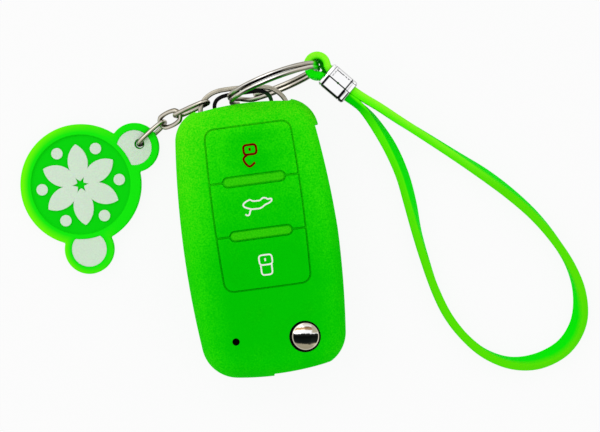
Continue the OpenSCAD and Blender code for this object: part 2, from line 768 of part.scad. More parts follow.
// Oval link whose first end is centred on the origin: pitch and width between wire middles
module oval_link(l, w) {
    for (y = [-1, 1])
        translate([w / 2, y * w / 2, 0]) rotate([0, 90, 0]) cylinder(d = chain_wire, h = l - w);
    translate([w / 2, 0, 0]) rotate([0, 0, 90]) rotate_extrude(angle = 180)
        translate([w / 2, 0]) circle(d = chain_wire);
    translate([l - w / 2, 0, 0]) rotate([0, 0, -90]) rotate_extrude(angle = 180)
        translate([w / 2, 0]) circle(d = chain_wire);
}

module chain_link_3() {
    color([0.68, 0.67, 0.64]) translate(link_3_at) rotate([90, -chain_slope, link_3_a])
        oval_link(link_3_l, link_3_w);
}

module chain_link_2() {
    color([0.68, 0.67, 0.64]) translate(link_2_at) rotate([0, -chain_slope, link_2_a])
        oval_link(link_2_l, link_2_w);
}

module chain_link_1() {
    color([0.68, 0.67, 0.64]) translate(link_1_at) rotate([90, -tag_lean, link_1_a])
        oval_link(link_1_l, link_1_w);
}

// Places the tag, leaning on the link in its upper lobe
module tag_at() {
    hole_x = tag_hole_d * cos(tag_lean);
    hole_at = link_1_at + tag_hook * along(tag_lean, link_1_a);
    translate([hole_at[0] - hole_x * cos(lobe_1_a), hole_at[1] - hole_x * sin(lobe_1_a), tag_foot_z])
        rotate([0, 0, lobe_1_a]) rotate([0, -tag_lean, 0]) rotate([0, 0, -lobe_1_a]) children();
}

module tag_outline(inset) {
    circle(tag_r - inset);
    for (a = [lobe_1_a, lobe_2_a]) rotate(a) translate([lobe_d, 0]) circle(lobe_r - inset);
}

// White half-moon in each lobe
module moons(gap) {
    for (a = [lobe_1_a, lobe_2_a]) rotate(a) difference() {
        translate([lobe_d, 0]) circle(moon_r + gap);
        circle(moon_arc_r - gap);
    }
}

module tag_body() {
    color([0.25, 0.95, 0.1]) tag_at() difference() {
        slab(0, tag_t) tag_outline(0);
        slab(tag_t - tag_floor_d, tag_t + over) circle(tag_r - tag_rim);
        slab(tag_t - tag_floor_d, tag_t + over) moons(0);
        translate([tag_hole_local[0], tag_hole_local[1], -over])
            cylinder(r = tag_hole_r, h = tag_t + 2 * over);
    }
}

module petal() {
    r = (petal_l ^ 2 / 4 + petal_w ^ 2 / 4) / petal_w;
    translate([petal_l / 2, 0]) intersection() {
        translate([0, r - petal_w / 2]) circle(r);
        translate([0, petal_w / 2 - r]) circle(r);
    }
}

module tag_inlay() {
    petal_start = 1;
    color([0.82, 0.86, 0.8]) tag_at() difference() {
        slab(tag_t - tag_floor_d, tag_t - tag_floor_d + moon_h) {
            for (i = [0:petals - 1]) rotate(360 * (i + 0.5) / petals) translate([petal_start, 0]) petal();
            for (i = [0:dots - 1]) rotate(360 * i / dots) translate([dot_ring_r, 0]) circle(dot_r);
            moons(0);
        }
        translate([tag_hole_local[0], tag_hole_local[1], -over])
            cylinder(r = tag_hole_r, h = tag_t + 2 * over);
    }
}

module strap_at() {
    translate(eye_at) rotate([0, 0, strap_a]) children();
}

module strap_eye() {
    mouth = clamp_start + clamp_l;
    color([0.3, 0.95, 0.1]) strap_at() slab(-band_w / 2, band_w / 2) {
        difference() {
            circle(eye_r + eye_band_t);
            circle(eye_r);
            translate([clamp_start - clamp_gap, -cover_w / 2]) square(cover_w);
        }
        for (y = [-1, 1])
            translate([eye_r, y * tail_off - band_t / 2]) square([mouth - eye_r, band_t]);
    }
}

// Profile of the clamp, less an inset of its outside
module clamp_profile(inset) {
    rounded_square(clamp_in_w + 2 * clamp_sheet - 2 * inset,
        clamp_in_h + 2 * clamp_sheet - 2 * inset, clamp_r - inset);
}

module along_clamp(x0, x1) {
    translate([clamp_start + x0, 0, 0]) rotate([90, 0, 90]) linear_extrude(x1 - x0) children();
}

module strap_clamp() {
    top_z = clamp_in_h / 2 + clamp_sheet;
    color([0.9, 0.9, 0.92]) strap_at() difference() {
        along_clamp(0, clamp_l) clamp_profile(0);
        along_clamp(-over, clamp_l + over) square([clamp_in_w, clamp_in_h], center = true);
        for (x = [clamp_groove_at, clamp_l - clamp_groove_at - clamp_groove])
            along_clamp(x, x + clamp_groove) difference() {
                square(4 * clamp_in_h, center = true);
                clamp_profile(clamp_groove);
            }
        translate([clamp_start - over, -clamp_seam / 2, 0])
            cube([clamp_l + 2 * over, clamp_seam, top_z + over]);
        translate([clamp_start + clamp_l / 2, 0, 0]) cylinder(r = clamp_notch_r, h = top_z + over);
    }
}

// A smooth curve through the points of a route, with its lean
function bent(p, i, u) =
    let (a = p[max(i - 1, 0)], b = p[i], c = p[i + 1], d = p[min(i + 2, len(p) - 1)])
    0.5 * (2 * b + (c - a) * u + (2 * a - 5 * b + 4 * c - d) * u ^ 2 + (3 * b - a - 3 * c + d) * u ^ 3);

function smooth(p, steps) =
    concat([for (i = [0:len(p) - 2], s = [0:steps - 1]) bent(p, i, s / steps)], [p[len(p) - 1]]);

// Frame of the band at a point: its thickness runs out of the loop and its width stands up
function band_frame(at, t, lean) =
    let (out = unit(cross([0, 0, 1], t)), up = cross(unit(t), out))
    [at, cos(lean) * out - sin(lean) * up, cos(lean) * up + sin(lean) * out];

module strap_loop() {
    dir = [cos(strap_a), sin(strap_a), 0];
    side = [-dir[1], dir[0], 0] * tail_off;
    first = [side[0], side[1], mouth_at[2], 0];
    last = [-side[0], -side[1], mouth_at[2], 0];
    way = smooth(concat([first], loop_route, [last]), loop_steps);
    at = [for (p = way) [mouth_at[0] + p[0], mouth_at[1] + p[1], p[2]]];
    n = len(at) - 1;
    echo(strap_loop_length = sum_of([for (i = [1:n]) norm(at[i] - at[i - 1])]));
    frames = [for (i = [0:n])
        band_frame(at[i], i == 0 ? dir : i == n ? -dir : at[i + 1] - at[i - 1], way[i][3])];
    color([0.3, 0.9, 0.05]) skin(swept(frames, cut_section(band_t, band_w, band_t * band_edge_share)));
}

function sum_of(v, i = 0) = i < len(v) ? v[i] + sum_of(v, i + 1) : 0;

cover_shell();
pad(0);  // unlock_pad
pad(1);  // boot_pad
pad(2);  // lock_pad
upper_case();
lower_case();
rubber_key(0);  // unlock_key
rubber_key(1);  // boot_key
rubber_key(2);  // lock_key
circuit_board();
tact_switches();
status_led();
battery();
battery_clip();
transponder();
pivot_post();
flip_spring();
blade_carrier();
blade();
blade_pin();
release_button();
case_eyelet();
key_bail();
split_ring();
chain_link_3();
chain_link_2();
chain_link_1();
tag_body();
tag_inlay();
strap_eye();
strap_clamp();
strap_loop();
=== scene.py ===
"""Visible pieces of a silicone key cover on a flip key, with its key ring, tag and wrist strap."""

import math

import bpy
from mathutils import Matrix, Vector


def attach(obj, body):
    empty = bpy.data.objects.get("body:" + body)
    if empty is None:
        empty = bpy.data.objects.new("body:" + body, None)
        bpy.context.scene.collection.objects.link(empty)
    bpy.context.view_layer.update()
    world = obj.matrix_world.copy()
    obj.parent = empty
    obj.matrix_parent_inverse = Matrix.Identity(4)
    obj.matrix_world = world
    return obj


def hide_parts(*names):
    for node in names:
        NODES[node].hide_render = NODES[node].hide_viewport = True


bl_info = {
    "name": "Key fob cover",
    "version": (1, 0, 0),
    "blender": (4, 5, 0),
    "location": "View3D > Sidebar > Key cover",
    "description": "Builds the visible pieces of a silicone key cover round its solids",
    "category": "Object",
}

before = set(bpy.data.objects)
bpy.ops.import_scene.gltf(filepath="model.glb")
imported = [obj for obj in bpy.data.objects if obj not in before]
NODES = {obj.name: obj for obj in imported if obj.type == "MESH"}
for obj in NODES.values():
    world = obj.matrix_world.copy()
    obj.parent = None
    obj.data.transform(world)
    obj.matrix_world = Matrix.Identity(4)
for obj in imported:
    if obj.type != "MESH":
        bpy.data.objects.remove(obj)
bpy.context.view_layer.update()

# Everything below is worked out in millimetres and set down in metres
MM = 0.001

# The cover's form, as in the part
COVER_W = 43.0
COVER_L = 76.4
COVER_T = 18.2
SIDE_BOW_R = 262.0
END_BOW_R = 80.0
RING_CORNER_R = 9.0
BLADE_CORNER_R = 10.0
FRONT_EDGE_R = 4.5
BACK_EDGE_R = 3.5
WALL = 1.4
CAVITY_Z1 = 16.7
CAVITY_EDGE_R = 3.0
SCALLOP_D = 0.9
RECESS_D = 0.6
PANEL_W = 24.6
PANEL_L = 44.8
PANEL_X = 0.4
PANEL_Y = 8.8
PANEL_R = 2.5
PANEL_BOW_R = 422.0
PANEL_END_BOW_R = 900.0
PANEL_GAP = 0.42
GROOVE_Z = 17.05
WEB_Z = 17.68
PAD_Z0 = 17.6
PAD_GROW = -0.03
PAD_ROOM = 0.03
PRINT_T = 0.04
PIVOT = (8.6, -28.4)
LED_AT = (-10.4, -27.4)
MID_Z = 9.1
SLOT_Z = (6.2, 12.0)
BLADE_SLOT = ((10.15, -28.4), (40, 27.2))
END_SLOT = ((-1.55, -50), (40, -28.25))
WINDOW_Z = 9.05
WINDOW_W = 26.8
WINDOW_H = 14.1
WINDOW_R = 1.4
WINDOW_Y = (30.2, 40)
HOLE_FLOOR = 12.5
RELEASE_HOLE_R = 4.35
LIGHT_HOLE_R = 1.02
BAR_L = 16.8
BAR_W = 2.2
BAR_RISE = 0.3
BAR_ROOM_L = 17.5
BAR_ROOM_W = 3.0
GROOVE_HALF = 0.225

# The release button: its dome, its edge and the skirt inside, then the middle and radius of its painted
# reflection
CAP_R = 3.98
CAP_TOP = 18.9
CAP_EDGE_R = 0.35
CAP_SKIRT = (
    (CAP_R, 14.4), (4.8, 14.4), (4.8, 13.6), (CAP_R, 13.6), (CAP_R, 10.4), (3.2, 10.4), (3.2, 17.12),
    (0, 17.12))
DOME_SHIFT = 0.18
DOME_REACH = 3.7

# The camera's turn, the place on the table that it looks at, and the table's drop in metres
VIEW_ROLL = 7.6
VIEW_AT = (11.6, 4.6)
TABLE_Z = -0.0002

# The split ring and the strap's eye and clamp, as in the part
RING_C = (9.3, 41.95, 13.6002)
RING_R = 12.9
RING_LEAN = 6.5
RING_A = 13.5
RING_PITCH = 1.42
RING_WIRE = 1.2
RING_WIRE_T = 1.0
STRAP_A = -48.0
EYE_R = 1.7
BAND_W = 4.8
BAND_T = 2.3
TAIL_GAP = 0.1
CLAMP_START = 3.3
CLAMP_L = 8.2
CLAMP_W = 6.6
CLAMP_H = 6.7
GROOVE_1 = 0.95
GROOVE_2 = 6.7
EYE_BAND_T = 2.0
EYE_LEAN = 9.0
EYE_SWELL = 0.14

# The ring's two turns: what they are thickened by to close up, how much nearer they lie at the right and at
# the bottom, and where the wire starts and how far from there it ends, in degrees
RING_FILL = 0.26
RING_SQUEEZE = (0.26, 0.18)
RING_STEPS = 180
RING_START_A = 225
RING_END_A = 16

# The clamp's sheet: grown and stretched over the part's, with rolled ends, two folds, a seam and a notch
CLAMP_GROW = 0.5
CLAMP_STRETCH = 1.06
CLAMP_EDGE_R = 1.4
CLAMP_ROLL = 0.75
CLAMP_SHEET = 0.9
CLAMP_SEAM = ((-0.08, 1.5), (0.08, 1.5), (0.08, 5), (-0.08, 5))
CLAMP_NOTCH_R = 0.32
CLAMP_FOLD = ((-0.17, 0), (-0.1, 0.2), (0.1, 0.2), (0.17, 0))

# Where the band closes up inside its eye, clear of the ring: distance and direction from the eye's middle,
# and the heights between which it does
EYE_FOLD = (
    (2.15, -50), (1.75, -50), (1.75, -30), (1.72, -8), (1.7, 1), (1.5, 5), (1.2, 10), (0.87, 20),
    (0.71, 30), (0.61, 38), (0.54, 49), (0.58, 58), (0.69, 70), (0.86, 80), (0.95, 86), (0.95, 100),
    (0.95, 130), (2.15, 130), (2.15, 110), (2.15, 80), (2.15, 50), (2.3, 30),
)
EYE_FOLD_Z = (-2.95, -2.25)

# The band's end inside the clamp: distance from the eye's middle, and how far it spreads there
EYE_TAIL = ((CLAMP_START + CLAMP_L, 0), (8.0, 0), (4.6, 0), (3.3, 0.12))

# Middle lines of the key's bail and of the eyelet inside it, from foot to foot, and their sections: width,
# height and how square they are
BAIL_ROUTE = [
    (-9.2, 32.65), (-10.6, 32.65), (-11.6, 32.9), (-11.95, 34), (-11.95, 36), (-11.85, 37.6), (-11.3, 39.0),
    (-10.1, 40.35), (-8.4, 41.4), (-6.4, 41.95), (-3.9, 42.1), (-1.1, 42.05), (1.4, 41.9), (4.3, 41.7),
    (7.2, 41.2), (8.8, 40.5), (10.05, 39.5), (11.1, 38.3), (11.8, 37), (11.95, 35.8), (11.95, 34),
    (11.6, 32.9), (10.6, 32.65), (9.2, 32.65),
]
BAIL_SECTION = (1.32, 1.8, 4.5)
EYELET_SECTION = (1.1, 1.6, 5)
EYELET_ROUTE = [
    (-7.95, 33.4), (-7.95, 36.9), (-7.8, 38.3), (-7.2, 39.35), (-6.1, 40.05), (-4.6, 40.42), (-2.6, 40.55),
    (0, 40.57), (2.6, 40.57), (4.8, 40.5), (6.2, 40.1), (7.2, 39.3), (7.8, 38.2), (7.95, 36.9), (7.95, 33.4),
]

# The tag's middle, hole, floor and lobes, and the lip round its hole
TAG_AT = (-47.93, 21.42)
TAG_HOLE = (-30.016, 30.496)
TAG_FLOOR_R = 13.9
TAG_LOBE_AT = 18.2
TAG_LOBES = (27, -90)
LIP_PROFILE = ((1.5, 2.1), (1.08, 2.1), (1.04, 3.2), (1.1, 4.35), (1.5, 4.35))

# The chain's links: number, first end, slope, direction, pitch, width, and whether they stand on edge
LINK_TWIST = 14.0
LINK_WIRE_R = 0.61
LINKS = (
    (1, (-30.3064, 30.3007, 3.2564), 2.6, 34.0, 9.6, 5.0, True),
    (2, (-23.6124, 35.2552, 3.6319), 23.65, 18.0, 6.6, 3.8, False),
    (3, (-19.0098, 36.7506, 5.7502), 23.65, 16.0, 10.6, 4.2, True),
)

# Route of the strap's loop, as in the part: across, along, height and lean
LOOP_ROUTE = [
    (3.7, -1.7, 13.3, 0), (7.7, -4.8, 12, 0), (13.2, -9.4, 8.8, -1), (19.8, -14.7, 5.5, -5),
    (27.2, -20.8, 3.2, -10), (34.7, -27.2, 2.8, -20), (41.1, -33.5, 2.8, -18), (46.8, -40.2, 2.7, -12),
    (51.4, -47.4, 2.6, -5), (55.1, -55.4, 2.5, 2), (56.6, -63.6, 2.7, 20), (55.3, -71.5, 2.7, 42),
    (50.5, -77.7, 2.6, 52), (43.1, -80.7, 2.7, 42), (35.4, -80.4, 2.7, 18), (28.5, -77, 2.6, 5),
    (23.3, -71.6, 2.5, 1), (19.3, -64.8, 2.5, 0), (16.7, -57, 2.5, 1), (15.1, -49.1, 2.5, 5),
    (13.8, -40.6, 2.6, 10), (13, -32, 2.8, 24), (11.8, -24, 4, 27), (9.3, -16, 6.8, 28),
    (5.5, -8.4, 10.8, 16), (2, -3.5, 13.3, 0),
]

UP = Vector((0, 0, 1))
WHITE = (1, 1, 1, 1)

# Shine of soft rubber, and the light that silicone lets in
SOFT = {"IOR": 1.41, "Specular_IOR_Level": 0.015}
DEPTH = {"Subsurface_Weight": 0.1, "Subsurface_Radius": (0.2, 1.0, 0.1), "Subsurface_Scale": 0.0008}

# Selecting and shaping


def clear_selection():
    """Leaves edit mode and deselects every object."""
    if bpy.context.object and bpy.context.object.mode != "OBJECT":
        bpy.ops.object.mode_set(mode="OBJECT")
    bpy.ops.object.select_all(action="DESELECT")


def pick(piece):
    """Makes a piece the only one selected."""
    clear_selection()
    piece.hide_viewport = False
    piece.select_set(True)
    bpy.context.view_layer.objects.active = piece


def metres(points):
    """Points in millimetres as vectors in metres."""
    return [Vector(p) * MM for p in points]


def rounded(point, digits):
    """A point's numbers rounded, to look it up by."""
    return tuple(round(c, digits) for c in point)


def named(piece, name):
    """Names a piece and its mesh."""
    piece.name = name
    piece.data.name = name
    return piece


def apply_modifier(piece, kind, **settings):
    """Adds a modifier, sets it and applies it."""
    pick(piece)
    modifier = piece.modifiers.new(kind, kind)
    for key, value in settings.items():
        setattr(modifier, key, value)
    bpy.ops.object.modifier_apply(modifier=modifier.name)


def edit(piece, *steps):
    """Runs edit-mode steps on the whole of a piece."""
    pick(piece)
    bpy.ops.object.mode_set(mode="EDIT")
    bpy.ops.mesh.select_all(action="SELECT")
    for step, settings in steps:
        step(**settings)
    bpy.ops.object.mode_set(mode="OBJECT")


def make_outward(piece):
    """Turns every face outwards."""
    edit(piece, (bpy.ops.mesh.normals_make_consistent, {"inside": False}))


def smooth(piece, angle=None):
    """Evens a piece's shading, except over edges sharper than an angle in degrees."""
    pick(piece)
    if angle:
        bpy.ops.object.shade_smooth_by_angle(angle=math.radians(angle))
    else:
        bpy.ops.object.shade_smooth()


def soften(piece, width, segments=3, angle=35):
    """Rounds a piece's sharp edges and evens its shading."""
    apply_modifier(
        piece, "BEVEL", width=width * MM, segments=segments, limit_method="ANGLE",
        angle_limit=math.radians(angle), use_clamp_overlap=True, harden_normals=False)
    smooth(piece)
    apply_modifier(piece, "WEIGHTED_NORMAL", keep_sharp=False, weight=80)


def drawn(name, rings, angle=40):
    """A filled circle drawn out ring by ring with extrude, each ring set on its outline."""
    clear_selection()
    bpy.ops.mesh.primitive_circle_add(vertices=len(rings[0]), radius=1, fill_type="NGON")
    piece = named(bpy.context.object, name)
    mesh = piece.data
    for vertex, place in zip(mesh.vertices, metres(rings[0])):
        vertex.co = place
    for before, ring in zip(rings, rings[1:]):
        bpy.ops.object.mode_set(mode="EDIT")
        bpy.ops.mesh.extrude_region_move()
        bpy.ops.object.mode_set(mode="OBJECT")
        after = {rounded(old, 7): new for old, new in zip(metres(before), metres(ring))}
        for vertex in mesh.vertices:
            if vertex.select:
                vertex.co = after[rounded(vertex.co, 7)]
    make_outward(piece)
    if angle:
        smooth(piece, angle)
    return piece


def store_section(piece, places):
    """Stores each point's place in its section, in millimetres, for the finish to read."""
    mesh = piece.data
    mesh.attributes.new("section", "FLOAT_VECTOR", "POINT")
    mesh.attributes["section"].data.foreach_set("vector", [c for place in places for c in place])


def carry_section(piece, rings, section, shifts=None):
    """Finds the place in the section of each point of a drawn piece."""
    where = {}
    for ring, shift in zip(rings, shifts or [0.0] * len(rings)):
        for point, (x, y) in zip(metres(ring), section):
            where[rounded(point, 6)] = (x + shift, y, 0.0)
    corners = [rounded(vertex.co, 6) for vertex in piece.data.vertices]
    store_section(piece, [where.get(corner, (0.0, 0.0, 0.0)) for corner in corners])


def prism(name, outline, z0, z1):
    """A straight body over an outline in millimetres."""
    return drawn(name, [at_height(outline, z0), at_height(outline, z1)], angle=None)


def block(name, low, high):
    """A cube primitive set between two corners in millimetres."""
    clear_selection()
    size = [(b - a) * MM for a, b in zip(low, high)]
    middle = [(b + a) / 2 * MM for a, b in zip(low, high)]
    bpy.ops.mesh.primitive_cube_add(size=1, location=middle, scale=size)
    piece = bpy.context.object
    piece.name = name
    settle(piece)
    return piece


def settle(piece):
    """Puts a piece's place into its mesh, so that its object sits at the origin."""
    pick(piece)
    bpy.ops.object.transform_apply(location=True, rotation=True, scale=True)


def cut(piece, tool, operation="DIFFERENCE"):
    """Cuts a piece with another body, which is then removed."""
    apply_modifier(piece, "BOOLEAN", operation=operation, solver="EXACT", object=tool)
    bpy.data.objects.remove(tool)


def spun(name, profile, centre, steps, angle):
    """A profile of radius and height turned round an upright axis with spin."""
    clear_selection()
    bpy.ops.mesh.primitive_circle_add(vertices=len(profile), radius=1, fill_type="NOTHING")
    piece = bpy.context.object
    piece.name = name
    cx, cy = centre
    for vertex, (r, z) in zip(piece.data.vertices, profile):
        vertex.co = ((cx + r) * MM, cy * MM, z * MM)
    edit(
        piece,
        (bpy.ops.mesh.spin, {
            "steps": steps, "angle": math.tau, "use_auto_merge": True,
            "center": (cx * MM, cy * MM, 0), "axis": UP}),
        (bpy.ops.mesh.select_all, {"action": "SELECT"}),
        (bpy.ops.mesh.remove_doubles, {"threshold": 1e-6}))
    make_outward(piece)
    smooth(piece, angle)
    return piece


def reworked(node, name):
    """A copy of a solid with its loose triangles merged, ready to be softened."""
    pick(NODES[node])
    bpy.ops.object.duplicate()
    piece = named(bpy.context.object, name)
    piece.parent = None
    for key in list(piece.keys()):
        del piece[key]
    pick(piece)
    bpy.ops.mesh.customdata_custom_splitnormals_clear()
    edit(
        piece,
        (bpy.ops.mesh.remove_doubles, {"threshold": 2e-6}),
        (bpy.ops.mesh.dissolve_limited, {"angle_limit": math.radians(0.5)}))
    return piece


def finish(piece, body, slot, material, *nodes):
    """Gives a piece its finish and its body, and hides the solids it stands for."""
    piece.data.materials.clear()
    piece.data.materials.append(material)
    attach(piece, body)
    if nodes:
        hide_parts(*nodes)


# Outlines, in millimetres


def corner_centre(w, l, side_r, end_r, r):
    """Centre of the corner circle that runs into the side bow and the end bow."""
    sx = w / 2 - side_r
    ey = l / 2 - end_r
    d = math.hypot(sx, ey)
    a = ((side_r - r) ** 2 - (end_r - r) ** 2 + d * d) / (2 * d)
    h = math.sqrt((side_r - r) ** 2 - a * a)
    dx = -sx / d
    dy = ey / d
    return sx + a * dx - h * dy, a * dy + h * dx


def arc(cx, cy, r, start, end, steps):
    """Points along an arc from one angle to another, in radians, both ends counted."""
    turns = [start + (end - start) * i / steps for i in range(steps + 1)]
    return [(cx + r * math.cos(a), cy + r * math.sin(a)) for a in turns]


def quarter(w, l, side_r, end_r, r, inset, steps):
    """A quarter of a bowed outline, from the right round to the top."""
    kx, ky = corner_centre(w, l, side_r, end_r, r)
    sx = w / 2 - side_r
    ey = l / 2 - end_r
    a1 = math.atan2(ky, kx - sx)
    a2 = math.atan2(ky - ey, kx)
    side = arc(sx, 0, side_r - inset, 0, a1, steps)
    corner = arc(kx, ky, r - inset, a1, a2, 2 * steps)
    return side[:-1] + corner[:-1] + arc(0, ey, end_r - inset, a2, math.pi / 2, steps)


def bowed(w, l, side_r, end_r, top_r, low_r, inset, steps=8):
    """A whole bowed outline, counter-clockwise."""
    top = quarter(w, l, side_r, end_r, top_r, inset, steps)
    low = quarter(w, l, side_r, end_r, low_r, inset, steps)
    return (
        top[:-1] + [(-x, y) for x, y in reversed(top[1:])]
        + [(-x, -y) for x, y in low[:-1]] + [(x, -y) for x, y in reversed(low[1:])])


def cover_outline(inset):
    """Outline of the cover, moved in by a distance."""
    return bowed(COVER_W, COVER_L, SIDE_BOW_R, END_BOW_R, RING_CORNER_R, BLADE_CORNER_R, inset)


def panel_outline(inset):
    """Outline round the three pads, moved in by a distance."""
    outline = bowed(PANEL_W, PANEL_L, PANEL_BOW_R, PANEL_END_BOW_R, PANEL_R, PANEL_R, inset, 5)
    return [(x + PANEL_X, y + PANEL_Y) for x, y in outline]


def at_height(outline, z):
    """An outline as a ring of points at one height."""
    return [(x, y, z) for x, y in outline]


def stadium(cx, cy, length, width):
    """Outline of a straight bar with round ends."""
    points = []
    for side in (1, -1):
        start = math.radians(-90 * side)
        points += arc(cx + side * (length - width) / 2, cy, width / 2, start, start + math.pi, 10)
    return points


def round_square(cx, cy, w, h, r, steps=5):
    """Outline of a rectangle with round corners."""
    points = []
    for k, (qx, qy) in enumerate(((1, -1), (1, 1), (-1, 1), (-1, -1))):
        start = math.radians(90 * (k - 1))
        points += arc(cx + qx * (w / 2 - r), cy + qy * (h / 2 - r), r, start, start + math.pi / 2, steps)
    return points


def circle(cx, cy, r, count):
    """Outline of a round hole."""
    return arc(cx, cy, r, 0, math.tau, count)[:-1]


def rolled(r, steps):
    """Distances in from both faces along the rounding of an edge between them."""
    return [(r - x, r - y) for x, y in arc(0, 0, r, 0, math.pi / 2, steps)]


def turned(degrees):
    """Level unit vector in a direction."""
    a = math.radians(degrees)
    return Vector((math.cos(a), math.sin(a), 0))


# Shader nodes


class Value:
    """A number that varies over a surface, so that node maths reads as sums."""

    def __init__(self, tree, socket):
        self.tree = tree
        self.socket = socket

    def _sum(self, operation, *values):
        node = self.tree.nodes.new("ShaderNodeMath")
        node.operation = operation
        for place, value in zip(node.inputs, values):
            if isinstance(value, Value):
                self.tree.links.new(value.socket, place)
            else:
                place.default_value = value
        return Value(self.tree, node.outputs[0])

    def __add__(self, other):
        return self._sum("ADD", self, other)

    def __radd__(self, other):
        return self._sum("ADD", other, self)

    def __sub__(self, other):
        return self._sum("SUBTRACT", self, other)

    def __rsub__(self, other):
        return self._sum("SUBTRACT", other, self)

    def __mul__(self, other):
        return self._sum("MULTIPLY", self, other)

    def __rmul__(self, other):
        return self._sum("MULTIPLY", other, self)

    def held(self):
        """Kept between 0 and 1."""
        kept = self._sum("ADD", self, 0.0)
        kept.socket.node.use_clamp = True
        return kept


class Nodes:
    """A node tree that is filled node by node."""

    def __init__(self, tree):
        self.tree = tree

    def node(self, kind, settings=None, **sockets):
        """Any node: its settings first, then the values or links of its sockets."""
        node = self.tree.nodes.new(kind)
        for key, value in (settings or {}).items():
            if key == "stops":
                ramp = node.color_ramp.elements
                while len(ramp) < len(value):
                    ramp.new(0.5)
                for stop, (position, colour) in zip(ramp, value):
                    stop.position = position
                    stop.color = (*colour, 1)
            else:
                setattr(node, key, value)
        for name, value in sockets.items():
            self.put(node.inputs[name.replace("_", " ")], value)
        return node

    def put(self, socket, value):
        """Links a value to a socket, or sets the socket to it."""
        if isinstance(value, Value):
            value = value.socket
        if isinstance(value, bpy.types.NodeSocket):
            self.tree.links.new(value, socket)
        else:
            socket.default_value = value

    def seen(self):
        """1 to the camera, in mirrors and through glass, and 0 to the light that falls."""
        path = self.node("ShaderNodeLightPath").outputs
        camera, glossy, through = (
            Value(self.tree, path[f"Is {ray} Ray"]) for ray in ("Camera", "Glossy", "Transmission"))
        return (camera + glossy + through).held()

    def end_mixed(self, end, factor, first, second):
        """Mixes two shaders by a factor, for the last node of the tree."""
        mix = self.node("ShaderNodeMixShader")
        for socket, value in zip(mix.inputs, (factor, first.outputs[0], second.outputs[0])):
            self.put(socket, value)
        self.put(self.tree.nodes[end].inputs["Surface"], mix.outputs[0])


class Finish(Nodes):
    """A material with one main shader, with the place on the part in millimetres as x, y and z."""

    def __init__(self, name, **constants):
        self.material = bpy.data.materials.new(name)
        self.material.use_nodes = True
        super().__init__(self.material.node_tree)
        self.shader = self.tree.nodes["Principled BSDF"]
        for socket, value in constants.items():
            self.put(self.shader.inputs[socket.replace("_", " ")], value)
        self.place = self.node("ShaderNodeTexCoord").outputs["Object"]
        self.x, self.y, self.z = (axis * (1 / MM) for axis in self.split(self.place))

    def noise(self, size, detail=3.0):
        """Noise from 0 to 1 with grains of a size in millimetres."""
        node = self.node("ShaderNodeTexNoise", Vector=self.place, Scale=1 / (size * MM), Detail=detail)
        return Value(self.tree, node.outputs[0])

    def split(self, vector):
        """The three numbers of a vector."""
        parts = self.node("ShaderNodeSeparateXYZ", Vector=vector).outputs
        return [Value(self.tree, socket) for socket in parts]

    def section(self):
        """Place across a drawn piece and up it, in millimetres."""
        stored = self.node("ShaderNodeAttribute", {"attribute_name": "section"})
        return self.split(stored.outputs["Vector"])[:2]

    def strap_place(self):
        """Distance from the middle of the strap's eye, along the clamp and across it."""
        along, across = strap_axes()
        eye = eye_centre()
        dx = self.x - eye.x
        dy = self.y - eye.y
        return dx * along.x + dy * along.y, dx * across.x + dy * across.y

    def blend(self, first, second, factor):
        """Two colours or links mixed by a factor."""
        node = self.node("ShaderNodeMix", {"data_type": "RGBA"})
        self.put(node.inputs[0], factor)
        for socket, tone in ((node.inputs[6], first), (node.inputs[7], second)):
            self.put(socket, tone if isinstance(tone, bpy.types.NodeSocket) else (*tone, 1))
        return node.outputs[2]

    def bands(self, place, stops):
        """A run of tones, each as it looks on screen, along a place from 0 to 1."""
        stops = [(at, linear(*tone)) for at, tone in stops]
        return self.node("ShaderNodeValToRGB", {"stops": stops}, Fac=place).outputs[0]

    def ramp(self, value, low, high):
        """0 below one value and 1 above another."""
        node = self.node("ShaderNodeMapRange", {"clamp": True}, Value=value, From_Min=low, From_Max=high)
        return Value(self.tree, node.outputs[0])

    def line(self, value, at, half):
        """1 on a line at a value, as wide as twice a half width, and 0 beside it."""
        off = value - at
        return 1.0 - self.ramp(off * off, (half * 0.5) ** 2, half ** 2)

    def far(self, cx, cy, near, away):
        """0 within one distance of a place and 1 beyond another."""
        dx = self.x - cx
        dy = self.y - cy
        return self.ramp(dx * dx + dy * dy, near ** 2, away ** 2)

    def done(self, colour, rough, height, depth, strength):
        """Sets colour, roughness and relief, which is of a height from 0 to 1 and as deep as a size."""
        relief = self.node("ShaderNodeBump", Height=height, Strength=strength, Distance=depth * MM)
        for name, value in (("Base Color", colour), ("Roughness", rough), ("Normal", relief.outputs[0])):
            self.put(self.shader.inputs[name], value)
        return self.material


def linear(red, green, blue):
    """A colour given as it looks on screen, from 0 to 255."""
    return tuple(
        c / 255 / 12.92 if c <= 10 else ((c / 255 + 0.055) / 1.055) ** 2.4 for c in (red, green, blue))


def silicone(name, base, light, shadow, roughness=0.6, tone=None):
    """Soft-touch silicone: fine matt grain and faint marks from handling over a clouded tone.

    Where a tone is given, it paints light and shade into the silicone.
    """
    skin = Finish(name, Roughness=roughness, **SOFT, **DEPTH)
    cloud = skin.noise(5)
    speck = skin.noise(0.42)
    grain = skin.noise(0.16, 2.0)
    # Painted light and shade: a given tone makes the silicone paler where light falls and deeper where shade
    # falls
    level = tone(skin) if tone else 0.3 + cloud * 0.1
    level = (level + (cloud - 0.5) * 0.2).held()
    level = (level + (speck - 0.5) * (level * 2.6 + 0.25)).held()
    shade = skin.blend(base, shadow, skin.ramp(cloud, 0.52, 0.75) * 0.6)
    shade = skin.blend(shade, middle(base, light), skin.ramp(level, 0.02, 0.4))
    shade = skin.blend(shade, light, (level * level * 1.15).held())
    return skin.done(shade, roughness - 0.06 + speck * 0.14, grain * 0.7 + speck * 0.3, 0.015, 0.5)


def middle(base, light):
    """The tone between the deep and the pale silicone: it gains green before it gains red."""
    return base[0] + (light[0] - base[0]) * 0.03, base[1] + (light[1] - base[1]) * 0.55, base[2]


